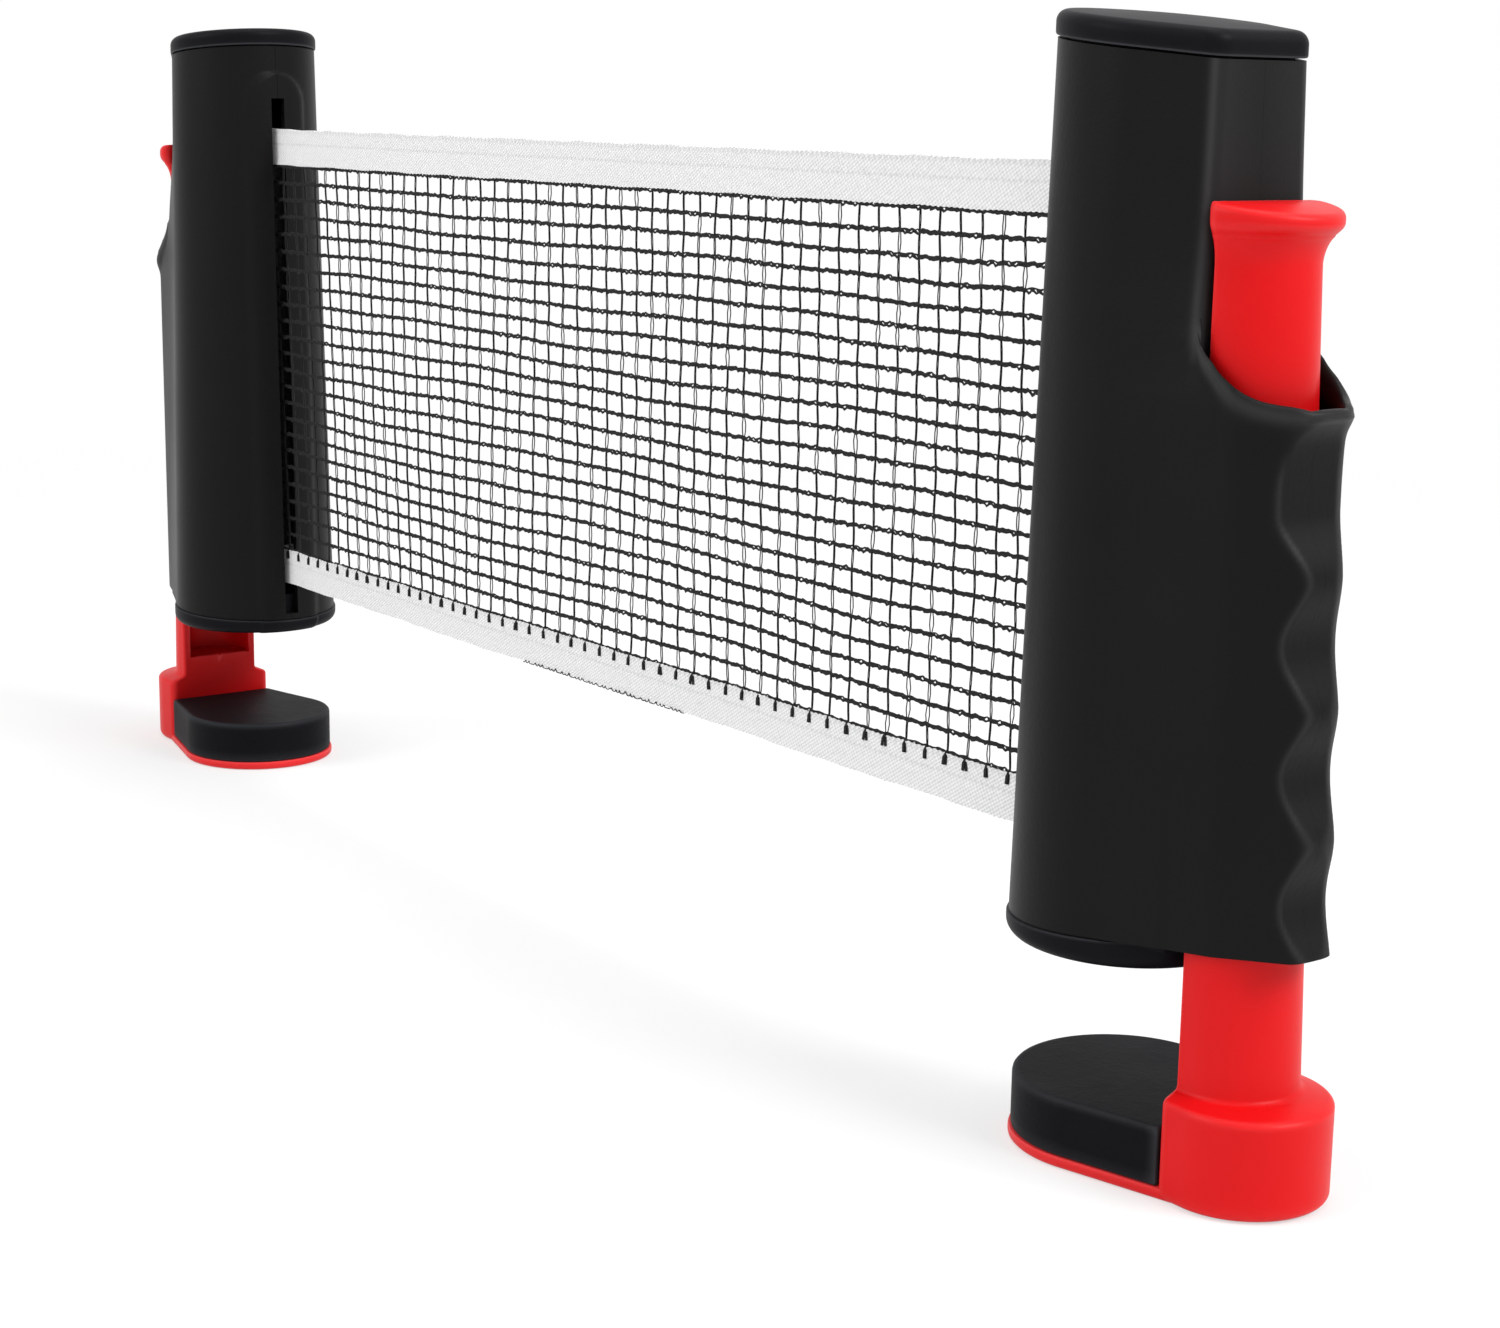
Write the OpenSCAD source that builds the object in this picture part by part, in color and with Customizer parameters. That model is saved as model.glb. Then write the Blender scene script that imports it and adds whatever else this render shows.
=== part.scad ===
// Retractable table tennis net set: two sprung clamp posts, each with a reel of net.
// Post A stands at the origin; post B is the same post, turned to face it.
// In a post's own frame +X points at the net, -X at the grip, +Z up from the table top.

/* [Net] */
// Height of the net, over its two tapes
net_h = 137.5; // [110:0.5:165]
// Height of the lower tape's edge above the table
net_foot = 15; // [12:0.5:24]
// Height of each tape
tape_h = 10.75; // [7:0.25:14]
// Thickness of the doubled tape
tape_t = 1; // [0.6:0.1:1.4]
// Thickness of the netting
mesh_t = 0.8; // [0.5:0.1:1.2]
// Width of each cord of the netting
mesh_cord = 0.9; // [0.6:0.1:1.6]
// Number of gaps along the net
mesh_cols = 25; // [10:1:25]
// Number of gaps up the net
mesh_rows = 12; // [6:1:12]
// Distance between the reels' axes as the set stands
span = 393; // [330:1:480]

/* [Housing] */
// Radius of the net side at the top
nose_top_r = 21.2; // [20.5:0.1:26]
// Radius of the net side at the foot
nose_foot_r = 24.5; // [22:0.1:30]
// Distance from the reel's axis to the flat back at the top
back_top = 24.3; // [23.5:0.1:29]
// Distance from the reel's axis to the flat back at the foot
back_foot = 26.4; // [24:0.1:29]
// Half width of the flat back at the top
back_half_top = 12.3; // [11.8:0.1:15]
// Half width of the flat back at the foot
back_half_foot = 16.8; // [16.4:0.1:20]
// Radius along the two creases of the back
crease_r = 1.5; // [0.8:0.1:2.5]
// Wall of the housing
housing_wall = 2.2; // [1.8:0.1:2.7]
// Height of the housing above the end of the net slot
slot_to_top = 13; // [11:0.5:18]
// Height of the housing's lower edge above the table, on the reel's axis
foot_z = 5.4; // [4.6:0.1:6.6]
// Slope of the top edge, down towards the grip
top_slope = 6; // [0:0.5:8]
// Slope of the lower edge, up towards the grip
foot_slope = 2.5; // [0:0.5:3]

/* [Net slot] */
// Width of the slot
slot_w = 4; // [3.2:0.1:5]
// Room in the slot above and below the net
slot_room = 9; // [6:0.5:11]
// Half width of the raised frame round the slot
frame_half = 9.5; // [7:0.5:11]
// Height of the raised frame above the wall
frame_rise = 0.9; // [0.5:0.1:1.4]

/* [Grip] */
// Reach of the grip's crests from the reel's axis, at table height
crest_foot_x = 49.7; // [48:0.1:56]
// How much the crests draw in for each millimetre up
crest_lean = 0.048; // [0:0.004:0.06]
// Height of the crest under the first finger
crest_first_z = 79; // [76:0.5:84]
// Distance from one crest to the next
crest_pitch = 24.6; // [21:0.1:26]
// Depth of the lower finger grooves
groove_depth = 3.9; // [2:0.1:4.6]
// Depth of the first finger's groove, under the lip
first_groove_depth = 4.6; // [3:0.1:5]
// Height of the lip
lip_z = 108.5; // [106:0.5:114]
// Reach of the lip from the reel's axis
lip_x = 46.4; // [44:0.1:50]
// Radius of the grip's outer end in plan
grip_tip_r = 7; // [5:0.1:8]
// Radius of the grip's flanks in plan
grip_flank_r = 14.6; // [14.4:0.1:16]
// How far the crests are cut into the grip's round end
crest_flat = 0.9; // [0:0.1:1.5]
// Wall of the lip round the column
lip_wall = 2; // [1.6:0.1:2.6]
// Radius of the thumb scoop above the lip
scoop_r = 15.6; // [13:0.1:18]

/* [Clamp] */
// Opening of the jaw as the set stands
clamp_gap = 29; // [12:1:44]
// Opening of the jaw when it is shut
clamp_gap_min = 3; // [2:0.5:6]
// Widest opening of the jaw
clamp_gap_max = 50; // [46:1:54]
// Half width of the sliding column
column_half = 12.5; // [11:0.1:12.6]
// Play between the column and its channel
column_play = 0.35; // [0.2:0.05:0.5]
// Reach of the column from the reel's axis at its lower end
column_foot_x = 43.2; // [40:0.1:43.4]
// How much the column draws in for each millimetre up
column_lean = 0.042; // [0.03:0.002:0.05]
// Wall of the hollow column
column_wall = 2.2; // [1.6:0.1:2.8]
// Height of the thumb button, ledge and neck together
button_h = 11; // [9:0.5:13]
// Half width of the thumb button
button_half = 14.7; // [13.5:0.1:16]
// Reach of the thumb button from the reel's axis
button_x = 40; // [38:0.1:43]
// Slope of the thumb button's top, down towards its outer end
button_slope = 5.5; // [0:0.5:8]
// Room left under the thumb button when the jaw is wide open
button_room = 7; // [5:0.5:10]
// Radius of the jaw under the reel
jaw_r = 23; // [20:0.1:26]
// Thickness of the jaw's rubber block
jaw_pad_t = 12; // [6:0.5:14]
// Thickness of the plate under the rubber block
jaw_plate_t = 2.4; // [1.8:0.1:3.2]
// Height of the jaw's heel above the rubber block
heel_rise = 7; // [4:0.5:9]
// Half width of the heel
heel_half = 16.9; // [15:0.1:19]
// Reach of the heel from the reel's axis
heel_x = 50.6; // [48:0.1:54]

/* [Caps] */
// Thickness of the top cap
top_cap_t = 5.2; // [4:0.1:6.5]
// Overhang of the caps past the housing's wall
cap_over = 0.4; // [0:0.1:0.8]
// Width of the top cap's sloped rim
cap_rim = 1.8; // [0.8:0.1:2.4]
// Radius round the base cap's lower edge
base_round = 3; // [1.5:0.1:3.5]
// Thickness of the rubber foot
foot_pad_t = 1.5; // [1:0.1:2]
// Depth that the caps' collars reach into the housing
collar_depth = 6; // [4:0.5:8]
// Wall of the caps' collars
collar_wall = 1.6; // [1.2:0.1:2]

/* [Reel] */
// Radius of the reel's steel axle
axle_r = 2; // [1.5:0.1:2.4]
// Radius of the spool
spool_r = 8.2; // [7.8:0.1:9]
// Radius of the spool's bore
spool_bore_r = 5.4; // [5:0.1:6.2]
// Radius of the net wound on the spool
roll_r = 16.4; // [12:0.1:17]
// Length of each bush
bush_l = 8; // [5:0.5:12]
// Running play between a bush and the axle
bush_play = 0.05; // [0.02:0.01:0.09]
// Width of the strip that holds the net's end
clip_w = 3; // [2:0.5:4]
// Thickness of that strip
clip_t = 1; // [0.6:0.1:1.2]

/* [Springs] */
// Turns of each clamp spring
clamp_turns = 10; // [8:1:12]
// Mean radius of the clamp spring
clamp_spring_r = 2.9; // [2.4:0.1:3.2]
// Wire radius of the clamp spring
clamp_wire_r = 0.5; // [0.3:0.05:0.6]
// Turns of each reel spring
reel_turns = 8; // [6:1:10]
// Mean radius of the reel spring
reel_spring_r = 3.6; // [3.2:0.1:3.8]
// Wire radius of the reel spring
reel_wire_r = 0.5; // [0.3:0.05:0.6]

/* [Hidden] */
housing_color = "#232427";
cap_color = "#1b1d22";
clamp_color = "#ec2024";
rubber_color = "#17181b";
steel_color = "#b9bcc0";
reel_color = "#8a7f6c";
bush_color = "#d9d5c8";
tape_color = "#f2f2f0";
mesh_color = "#141414";

// Small clearances
flush = 0.02;        // pieces fixed to each other
fit = 0.15;          // pieces that drop into each other
gap = 0.5;           // pieces that turn or slide past each other
skin = 0.1;          // thickness of a section used to draw a form
far = 80;            // size of the blocks that trim a post

// Heights
net_top = net_foot + net_h;
slot_foot = net_foot - slot_room;
slot_top = net_top + slot_room;
housing_h = slot_top + slot_to_top;
scoop_z = lip_z + 16.5;
spool_foot = foot_z + 3.4;
spool_top = slot_top - 1;

// Clamp
lift_max = clamp_gap - clamp_gap_min;
drop_max = clamp_gap_max - clamp_gap;
pad_top = -clamp_gap;
plate_top = pad_top - jaw_pad_t;
jaw_foot = plate_top - jaw_plate_t;
heel_top = pad_top + heel_rise;
column_x = back_foot + column_play + fit;
button_top = scoop_z - scoop_r + button_room + button_h + drop_max;
web_room = 44;
web_z = button_top - web_room;
seat_z = 12;
seat_t = 3;
seat_half = 4.6;
flange_t = 1.6;
flange_over = 2;
flange_x = back_x(seat_z + seat_t + flange_over) - housing_wall - fit - flange_t;
spring_x = -(column_x + gap + clamp_spring_r + clamp_wire_r);
heel_tip_r = heel_half - 0.4;

// Screws that hold the base cap
screw_ring = 15.6;
screw_turn = 135;
screw_r = 1.3;
screw_head_r = 2.5;
screw_head_t = 1.4;
screw_l = 9;
boss_r = 3.3;
boss_l = 7;
foot_pad_r = nose_foot_r - base_round - 1;
socket_foot = foot_pad_t + 0.8;

POST_NODES = ["housing_left", "housing_right", "top_cap", "base_cap", "foot_pad",
    "base_screws", "clamp_slider", "jaw_pad", "clamp_spring", "spring_seat", "reel_axle",
    "reel_spool", "upper_bush", "lower_bush", "reel_spring", "net_roll", "net_clip"];

function mix(a, b, t) = a + (b - a) * t;
function up(z) = z / housing_h;
function nose_r(z) = mix(nose_foot_r, nose_top_r, up(z));
function back_x(z) = mix(back_foot, back_top, up(z));
function back_half(z) = mix(back_half_foot, back_half_top, up(z));
function column_tip(z) = column_foot_x - column_lean * (z - heel_top);

// Reach of the grip at a height: crests on a leaning line, round-bottomed grooves between
function crest_x(z) = z < crest_first_z ? crest_foot_x - crest_lean * z
    : mix(crest_foot_x - crest_lean * crest_first_z, lip_x,
        min(1, (z - crest_first_z) / (lip_z - crest_first_z)));
function wave(z, pitch, flat) = pow((1 - cos(360 * (z - crest_first_z) / pitch)) / 2, flat);
function grip_x(z) = z >= lip_z ? lip_x
    : z > crest_first_z ? crest_x(z) - first_groove_depth * wave(z, lip_z - crest_first_z, 0.42)
    : crest_x(z) - groove_depth * wave(z, crest_pitch, 0.8);

// A section of the housing's D-shaped tube, drawn in by inset
module tube_section(z, inset) {
    corner = max(crease_r - inset, 0.3);
    translate([0, 0, z]) cylinder(r = nose_r(z) - inset, h = skin, $fn = 48);
    for (side = [-1, 1])
        translate([-back_x(z) + inset + corner, side * (back_half(z) - inset - corner), z])
            cylinder(r = corner, h = skin, $fn = 8);
}

module tube(inset, z_low, z_high) {
    hull() {
        tube_section(z_low, inset);
        tube_section(z_high, inset);
    }
}

// A section of the grip, from just inside the tube's wall out to its tip
module grip_section(z) {
    reach = mix(crest_foot_x, lip_x, z / lip_z) + crest_flat;
    translate([0, 0, z]) cylinder(r = nose_r(z) - 1, h = skin, $fn = 48);
    translate([-(column_x + 2), 0, z]) cylinder(r = grip_flank_r, h = skin, $fn = 48);
    translate([-(reach - grip_tip_r), 0, z]) cylinder(r = grip_tip_r, h = skin, $fn = 48);
}

// Everything outside the finger grooves, for cutting
module groove_cutter() {
    step = 1.6;
    heights = [for (z = [-step * 4 : step : lip_z]) z];
    wave_line = [for (z = heights) [grip_x(z), z]];
    rotate([90, 0, 0])
        linear_extrude(height = far, center = true)
            mirror([1, 0])
                polygon(concat(wave_line, [[lip_x, lip_z], [lip_x, lip_z + 30],
                    [far, lip_z + 30], [far, heights[0]]]));
}

module above_top() {
    translate([0, 0, housing_h])
        rotate([0, -top_slope, 0])
            translate([-far, -far, 0]) cube([2 * far, 2 * far, far]);
}

module below_foot() {
    translate([0, 0, foot_z])
        rotate([0, foot_slope, 0])
            translate([-far, -far, -far]) cube([2 * far, 2 * far, far]);
}

// The column's outline, wider all round by play
module column_section(z, play) {
    translate([-(column_tip(z) - column_half), 0, z])
        cylinder(r = column_half + play, h = skin, $fn = 32);
    for (side = [-1, 1])
        translate([-(column_x + 1.5), side * (column_half - 1.5), z])
            cylinder(r = 1.5 + play, h = skin, $fn = 8);
}

module column(play) {
    hull() {
        column_section(jaw_foot + 1, play);
        column_section(button_top - 3, play);
    }
}

module behind(x) {
    translate([-x - far, -far, -far]) cube([far, 2 * far, 5 * far]);
}

// The column's path, wide enough for its lower end when the jaw is shut, and its open mouth
module channel() {
    mouth_z = lip_z - 12;
    mouth_r = grip_tip_r - lip_wall;
    intersection() {
        union() {
            translate([0, 0, lift_max]) column(column_play);
            hull() {
                column_section(mouth_z, column_play);
                column_section(lip_z + 2, column_play);
                translate([-(lip_x - grip_tip_r), 0, lip_z + 2])
                    cylinder(r = mouth_r, h = skin, $fn = 24);
            }
        }
        behind(column_x - column_play);
    }
}

module at_screw(side) {
    rotate([0, 0, side * screw_turn]) translate([screw_ring, 0, 0]) children();
}

module slot_frame() {
    intersection() {
        cylinder(r1 = nose_foot_r + frame_rise, r2 = nose_top_r + frame_rise, h = housing_h);
        union() {
            translate([nose_top_r - 8, -frame_half, 0])
                cube([30, 2 * frame_half, slot_top - 2]);
            translate([nose_top_r - 8, 0, slot_top - 2])
                rotate([0, 90, 0]) cylinder(r = frame_half, h = 30);
        }
    }
}

// One half of the housing, split down the middle of the back and of the net slot
module housing_half(side) {
    color(housing_color)
    difference() {
        union() {
            difference() {
                union() {
                    tube(0, 0, housing_h + 6);
                    hull() {
                        grip_section(0);
                        grip_section(lip_z);
                        tube_section(scoop_z + 4, 1);
                    }
                    slot_frame();
                }
                groove_cutter();
                translate([-(back_x(scoop_z) + scoop_r - 0.3), 0, scoop_z])
                    rotate([90, 0, 0])
                        cylinder(r = scoop_r, h = far, center = true);
                channel();
                tube(housing_wall, -1, housing_h + 8);
            }
            intersection() {
                at_screw(side) {
                    cylinder(r = boss_r, h = foot_z + boss_l);
                    translate([0, -1.5, 0]) cube([20, 3, foot_z + boss_l]);
                }
                tube(housing_wall / 2, -1, foot_z + boss_l + 1);
            }
        }
        at_screw(side) translate([0, 0, -1]) cylinder(r = screw_r + flush, h = foot_z + screw_l);
        above_top();
        below_foot();
        translate([0, -slot_w / 2, slot_foot]) cube([far, slot_w, slot_top - slot_foot]);
        translate([-(column_x + 2), -seat_half - fit, seat_z - fit])
            cube([column_x + 2 - flange_x, 2 * (seat_half + fit), seat_t + 2 * fit]);
        translate([-far, side > 0 ? -far : 0, -1]) cube([2 * far, far, housing_h + far]);
    }
}

// Flat lid with a sloped rim, a collar inside the tube and a socket for the axle
module top_cap() {
    socket_z = spool_top + gap;
    color(cap_color)
    difference() {
        union() {
            translate([0, 0, housing_h])
                rotate([0, -top_slope, 0])
                    translate([0, 0, -housing_h]) {
                        hull() {
                            tube_section(housing_h, -cap_over);
                            tube_section(housing_h + top_cap_t - cap_rim, -cap_over);
                            tube_section(housing_h + top_cap_t - cap_rim / 3, cap_rim / 3);
                            tube_section(housing_h + top_cap_t - skin, cap_rim);
                        }
                    }
            difference() {
                tube(housing_wall + fit, housing_h - collar_depth, housing_h + 3);
                tube(housing_wall + fit + collar_wall, housing_h - collar_depth - 1, housing_h + 4);
                above_top();
            }
            translate([0, 0, socket_z])
                cylinder(r = axle_r + 2.6, h = housing_h - socket_z + 1);
        }
        translate([0, 0, socket_z - 1]) cylinder(r = axle_r + bush_play, h = 7);
    }
}

module base_profile(r) {
    translate([r - base_round, base_round]) circle(r = base_round);
    square([r - base_round, foot_z + 3]);
    translate([0, base_round]) square([r, foot_z + 3 - base_round]);
}

// Foot of the post: a rounded disc that follows the slot's frame, a collar and the axle's socket
module base_cap() {
    color(cap_color)
    difference() {
        union() {
            difference() {
                union() {
                    rotate_extrude() base_profile(nose_foot_r + cap_over);
                    intersection() {
                        rotate_extrude() base_profile(nose_foot_r + frame_rise + cap_over);
                        translate([10, -frame_half - cap_over, -1])
                            cube([30, 2 * (frame_half + cap_over), foot_z + 9]);
                    }
                }
                translate([0, 0, foot_z])
                    rotate([0, foot_slope, 0])
                        translate([-far, -far, 0]) cube([2 * far, 2 * far, far]);
            }
            difference() {
                tube(housing_wall + fit, base_round, foot_z + collar_depth);
                tube(housing_wall + fit + collar_wall, base_round - 1, foot_z + collar_depth + 1);
                for (side = [-1, 1])
                    at_screw(side)
                        translate([-boss_r - gap, -boss_r - gap, foot_z - 3])
                            cube([20, 2 * (boss_r + gap), far]);
                translate([-far, -seat_half - 3, foot_z - 3]) cube([far, 2 * seat_half + 6, far]);
                translate([0, -slot_w / 2, foot_z - 2]) cube([far, slot_w, far]);
            }
            cylinder(r = axle_r + 3, h = spool_foot - gap);
        }
        translate([0, 0, socket_foot]) cylinder(r = axle_r + bush_play, h = far);
        translate([0, 0, -1]) cylinder(r = foot_pad_r + fit, h = 1 + foot_pad_t);
        for (side = [-1, 1])
            at_screw(side) translate([0, 0, -1]) {
                cylinder(r = screw_r + fit, h = far);
                cylinder(r = screw_head_r + fit, h = 1 + foot_pad_t + screw_head_t + fit);
            }
    }
}

// Rubber disc let into the underside of the base cap
module foot_pad() {
    color(rubber_color)
    difference() {
        cylinder(r = foot_pad_r, h = foot_pad_t);
        for (side = [-1, 1])
            at_screw(side) translate([0, 0, -1]) cylinder(r = screw_head_r + 0.6, h = far);
    }
}

module base_screws() {
    color(steel_color)
    for (side = [-1, 1])
        at_screw(side) translate([0, 0, foot_pad_t]) {
            cylinder(r = screw_head_r, h = screw_head_t);
            cylinder(r = screw_r, h = screw_l);
        }
}

// Red moulding in one piece: thumb button, open-backed column, heel and jaw plate
module clamp_slider() {
    color(clamp_color)
    difference() {
        union() {
            intersection() {
                union() {
                    column(0);
                    thumb_button();
                    hull() {
                        heel_section(jaw_foot, 1);
                        heel_section(jaw_foot + 1, 0);
                        heel_section(heel_top - 2.2, 0);
                        heel_section(heel_top - skin, 1.8);
                    }
                }
                behind(column_x);
            }
            hull() {
                jaw_section(jaw_foot, 0.9);
                jaw_section(jaw_foot + 0.9, 0);
                jaw_section(plate_top - skin, 0);
            }
        }
        hull() {
            hollow_section(seat_z - lift_max - 2);
            hollow_section(web_z);
        }
    }
}

// Ledge on a hollow fillet, its top sloped down to the outer end
module thumb_button() {
    foot = button_top - button_h;
    difference() {
        union() {
            hull() {
                button_section(foot, 0);
                button_section(foot + 2.9, 0.25);
            }
            hull() {
                button_section(foot + 2.9, 0.25);
                button_section(foot + 5.2, 1);
                button_section(button_top - 1.6, 1);
                button_section(button_top, 0.6);
            }
        }
        translate([-column_x, 0, button_top - 0.4])
            rotate([0, -button_slope, 0])
                translate([-far, -far, 0]) cube([2 * far, 2 * far, far]);
    }
}

// Between the column's outline (t = 0) and the thumb button's (t = 1)
module button_section(z, t) {
    half = mix(column_half, button_half, t);
    tip = mix(column_tip(button_top - button_h), button_x, t);
    translate([-(tip - half), 0, z]) cylinder(r = half, h = skin, $fn = 32);
    for (side = [-1, 1])
        translate([-(column_x + 1.5), side * (half - 1.5), z])
            cylinder(r = 1.5, h = skin, $fn = 8);
}

// Room inside the column, open towards the housing
module hollow_section(z) {
    half = column_half - column_wall;
    translate([-(column_tip(z) - column_half), 0, z]) cylinder(r = half, h = skin, $fn = 32);
    translate([-(column_x + 0.6), -half, z]) cube([2, 2 * half, skin]);
}

module heel_section(z, inset) {
    translate([-(heel_x - heel_tip_r), 0, z])
        cylinder(r = heel_tip_r - inset, h = skin, $fn = 40);
    for (side = [-1, 1])
        translate([-column_x - 2, side * (heel_half - inset - 2), z])
            cylinder(r = 2, h = skin, $fn = 8);
}

// The jaw in plan: a nose like the housing's, drawn in towards the heel
module jaw_section(z, inset) {
    translate([0, 0, z]) cylinder(r = jaw_r - inset, h = skin, $fn = 48);
    for (side = [-1, 1])
        translate([-(column_x + 4), side * (heel_half - inset - 2), z])
            cylinder(r = 2, h = skin, $fn = 8);
}

module jaw_pad() {
    color(rubber_color)
    intersection() {
        hull() {
            jaw_section(plate_top, 0.5);
            jaw_section(pad_top - 0.8, 0.5);
            jaw_section(pad_top - skin, 1.2);
        }
        translate([-column_x, -far, -far]) cube([2 * far, 2 * far, 2 * far]);
    }
}

// Tongue held in a window of the back wall; the clamp spring stands on its outer end
module spring_seat() {
    color(cap_color)
    union() {
        translate([spring_x - clamp_spring_r - clamp_wire_r - 0.3, -seat_half, seat_z])
            cube([column_x + 2 * (clamp_spring_r + clamp_wire_r) + gap + 0.3 - flange_x,
                2 * seat_half, seat_t]);
        translate([-flange_x - flange_t, -seat_half - flange_over, seat_z - flange_over])
            cube([flange_t, 2 * (seat_half + flange_over), seat_t + 2 * flange_over]);
        translate([spring_x, 0, seat_z])
            cylinder(r = (clamp_spring_r - clamp_wire_r) * cos(22.5) - fit, h = seat_t + 6);
    }
}

// One unbroken wire on a helix; its ends lie flat
function coil_height(i, turns, rings, wire_r, length) =
    let (dead = rings, n = turns * rings)
    i <= dead ? wire_r * 2.3 * i / rings
    : i >= n - dead ? length - wire_r * 2.3 * (n - i) / rings
    : wire_r * 2.3 + (length - 4.6 * wire_r) * (i - dead) / (n - 2 * dead);

function coil_points(turns, rings, coil_r, wire_r, length, sides) = [
    for (i = [0 : turns * rings]) let (
        turn = 360 * i / rings,
        z = coil_height(i, turns, rings, wire_r, length))
        for (k = [0 : sides - 1]) let (
            r = coil_r - wire_r * sin(360 * k / sides))
            [r * cos(turn), r * sin(turn), z + wire_r * cos(360 * k / sides)]];

module coil(turns, coil_r, wire_r, length, rings, sides) {
    n = turns * rings;
    points = coil_points(turns, rings, coil_r, wire_r, length, sides);
    walls = [for (i = [0 : n - 1]) for (k = [0 : sides - 1]) let (
        a = i * sides + k,
        b = i * sides + (k + 1) % sides)
        each [[a, b, b + sides], [a, b + sides, a + sides]]];
    ends = [for (k = [1 : sides - 2]) each [[0, k + 1, k],
        [n * sides, n * sides + k, n * sides + k + 1]]];
    polyhedron(points = points, faces = concat(walls, ends));
}

module clamp_spring() {
    color(steel_color)
    translate([spring_x, 0, seat_z + seat_t + clamp_wire_r])
        coil(clamp_turns, clamp_spring_r, clamp_wire_r,
            web_z - seat_z - seat_t - 2 * clamp_wire_r, 8, 6);
}

module reel_axle() {
    color(steel_color)
    translate([0, 0, socket_foot]) cylinder(r = axle_r, h = spool_top + gap + 5.5 - socket_foot);
}

module reel_spool() {
    color(reel_color)
    difference() {
        translate([0, 0, spool_foot]) cylinder(r = spool_r, h = spool_top - spool_foot);
        translate([0, 0, -1]) cylinder(r = spool_bore_r, h = far * 3);
        translate([spool_r - clip_t - 0.4, -clip_w / 2 - fit, net_foot - 1])
            cube([far, clip_w + 2 * fit, net_h + 2]);
    }
}

module bush(z) {
    color(bush_color)
    translate([0, 0, z])
        difference() {
            cylinder(r = spool_bore_r, h = bush_l);
            translate([0, 0, -1]) cylinder(r = axle_r + bush_play, h = bush_l + 2);
        }
}

module reel_spring() {
    color(steel_color)
    translate([0, 0, spool_foot + bush_l + reel_wire_r])
        coil(reel_turns, reel_spring_r, reel_wire_r,
            spool_top - spool_foot - 2 * bush_l - 2 * reel_wire_r, 6, 4);
}

module net_roll() {
    color(mesh_color)
    translate([0, 0, net_foot])
        difference() {
            cylinder(r = roll_r, h = net_h);
            translate([0, 0, -1]) cylinder(r = spool_r + flush, h = net_h + 2);
        }
}

module net_clip() {
    color(bush_color)
    translate([spool_r - clip_t - 0.4 + fit, -clip_w / 2, net_foot])
        cube([clip_t, clip_w, net_h]);
}

// The stretched net runs from one roll to the other
net_start = roll_r;
net_l = span - 2 * net_start;

module strip(z, height, thickness) {
    translate([net_start, -thickness / 2, z]) cube([net_l, thickness, height]);
}

module net_mesh() {
    low = net_foot + tape_h;
    high = net_top - tape_h;
    pitch_x = net_l / mesh_cols;
    pitch_z = (high - low) / mesh_rows;
    color(mesh_color)
    translate([net_start, mesh_t / 2, low])
        rotate([90, 0, 0])
            linear_extrude(height = mesh_t)
                difference() {
                    square([net_l, high - low]);
                    for (i = [0 : mesh_cols - 1], j = [0 : mesh_rows - 1])
                        translate([i * pitch_x + mesh_cord / 2, j * pitch_z + mesh_cord / 2])
                            square([pitch_x - mesh_cord, pitch_z - mesh_cord]);
                }
}

module top_tape() {
    color(tape_color) strip(net_top - tape_h, tape_h, tape_t);
}

module bottom_tape() {
    color(tape_color) strip(net_foot, tape_h, tape_t);
}

module post_piece(piece) {
    if (piece == "housing_left") housing_half(1);
    if (piece == "housing_right") housing_half(-1);
    if (piece == "top_cap") top_cap();
    if (piece == "base_cap") base_cap();
    if (piece == "foot_pad") foot_pad();
    if (piece == "base_screws") base_screws();
    if (piece == "clamp_slider") clamp_slider();
    if (piece == "jaw_pad") jaw_pad();
    if (piece == "clamp_spring") clamp_spring();
    if (piece == "spring_seat") spring_seat();
    if (piece == "reel_axle") reel_axle();
    if (piece == "reel_spool") reel_spool();
    if (piece == "upper_bush") bush(spool_top - bush_l);
    if (piece == "lower_bush") bush(spool_foot);
    if (piece == "reel_spring") reel_spring();
    if (piece == "net_roll") net_roll();
    if (piece == "net_clip") net_clip();
}

for (piece = POST_NODES) {
    post_piece(piece);
    translate([span, 0, 0]) rotate([0, 0, 180]) post_piece(piece);
}
net_mesh();
top_tape();
bottom_tape();
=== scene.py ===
import math

import bmesh
import bpy
import numpy as np
from mathutils import Matrix


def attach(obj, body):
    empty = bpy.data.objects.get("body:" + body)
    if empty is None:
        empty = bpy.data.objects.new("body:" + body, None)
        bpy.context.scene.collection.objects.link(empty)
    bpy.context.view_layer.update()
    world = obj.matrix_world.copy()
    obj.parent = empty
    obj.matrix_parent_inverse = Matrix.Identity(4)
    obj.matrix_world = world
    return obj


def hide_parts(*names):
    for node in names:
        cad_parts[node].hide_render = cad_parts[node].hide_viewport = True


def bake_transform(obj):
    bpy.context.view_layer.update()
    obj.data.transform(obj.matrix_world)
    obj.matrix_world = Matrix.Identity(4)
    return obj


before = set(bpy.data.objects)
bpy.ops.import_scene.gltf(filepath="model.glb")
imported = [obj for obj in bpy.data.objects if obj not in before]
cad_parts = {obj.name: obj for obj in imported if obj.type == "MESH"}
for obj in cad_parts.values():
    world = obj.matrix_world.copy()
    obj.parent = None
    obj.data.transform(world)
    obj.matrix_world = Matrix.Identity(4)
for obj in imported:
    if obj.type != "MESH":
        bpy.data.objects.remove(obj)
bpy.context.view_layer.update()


# ---------------------------------------------------------------------------
# The camera stands on the near post's side of the net, a little above the posts,
# and looks down and along the net at both clamps.

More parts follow.
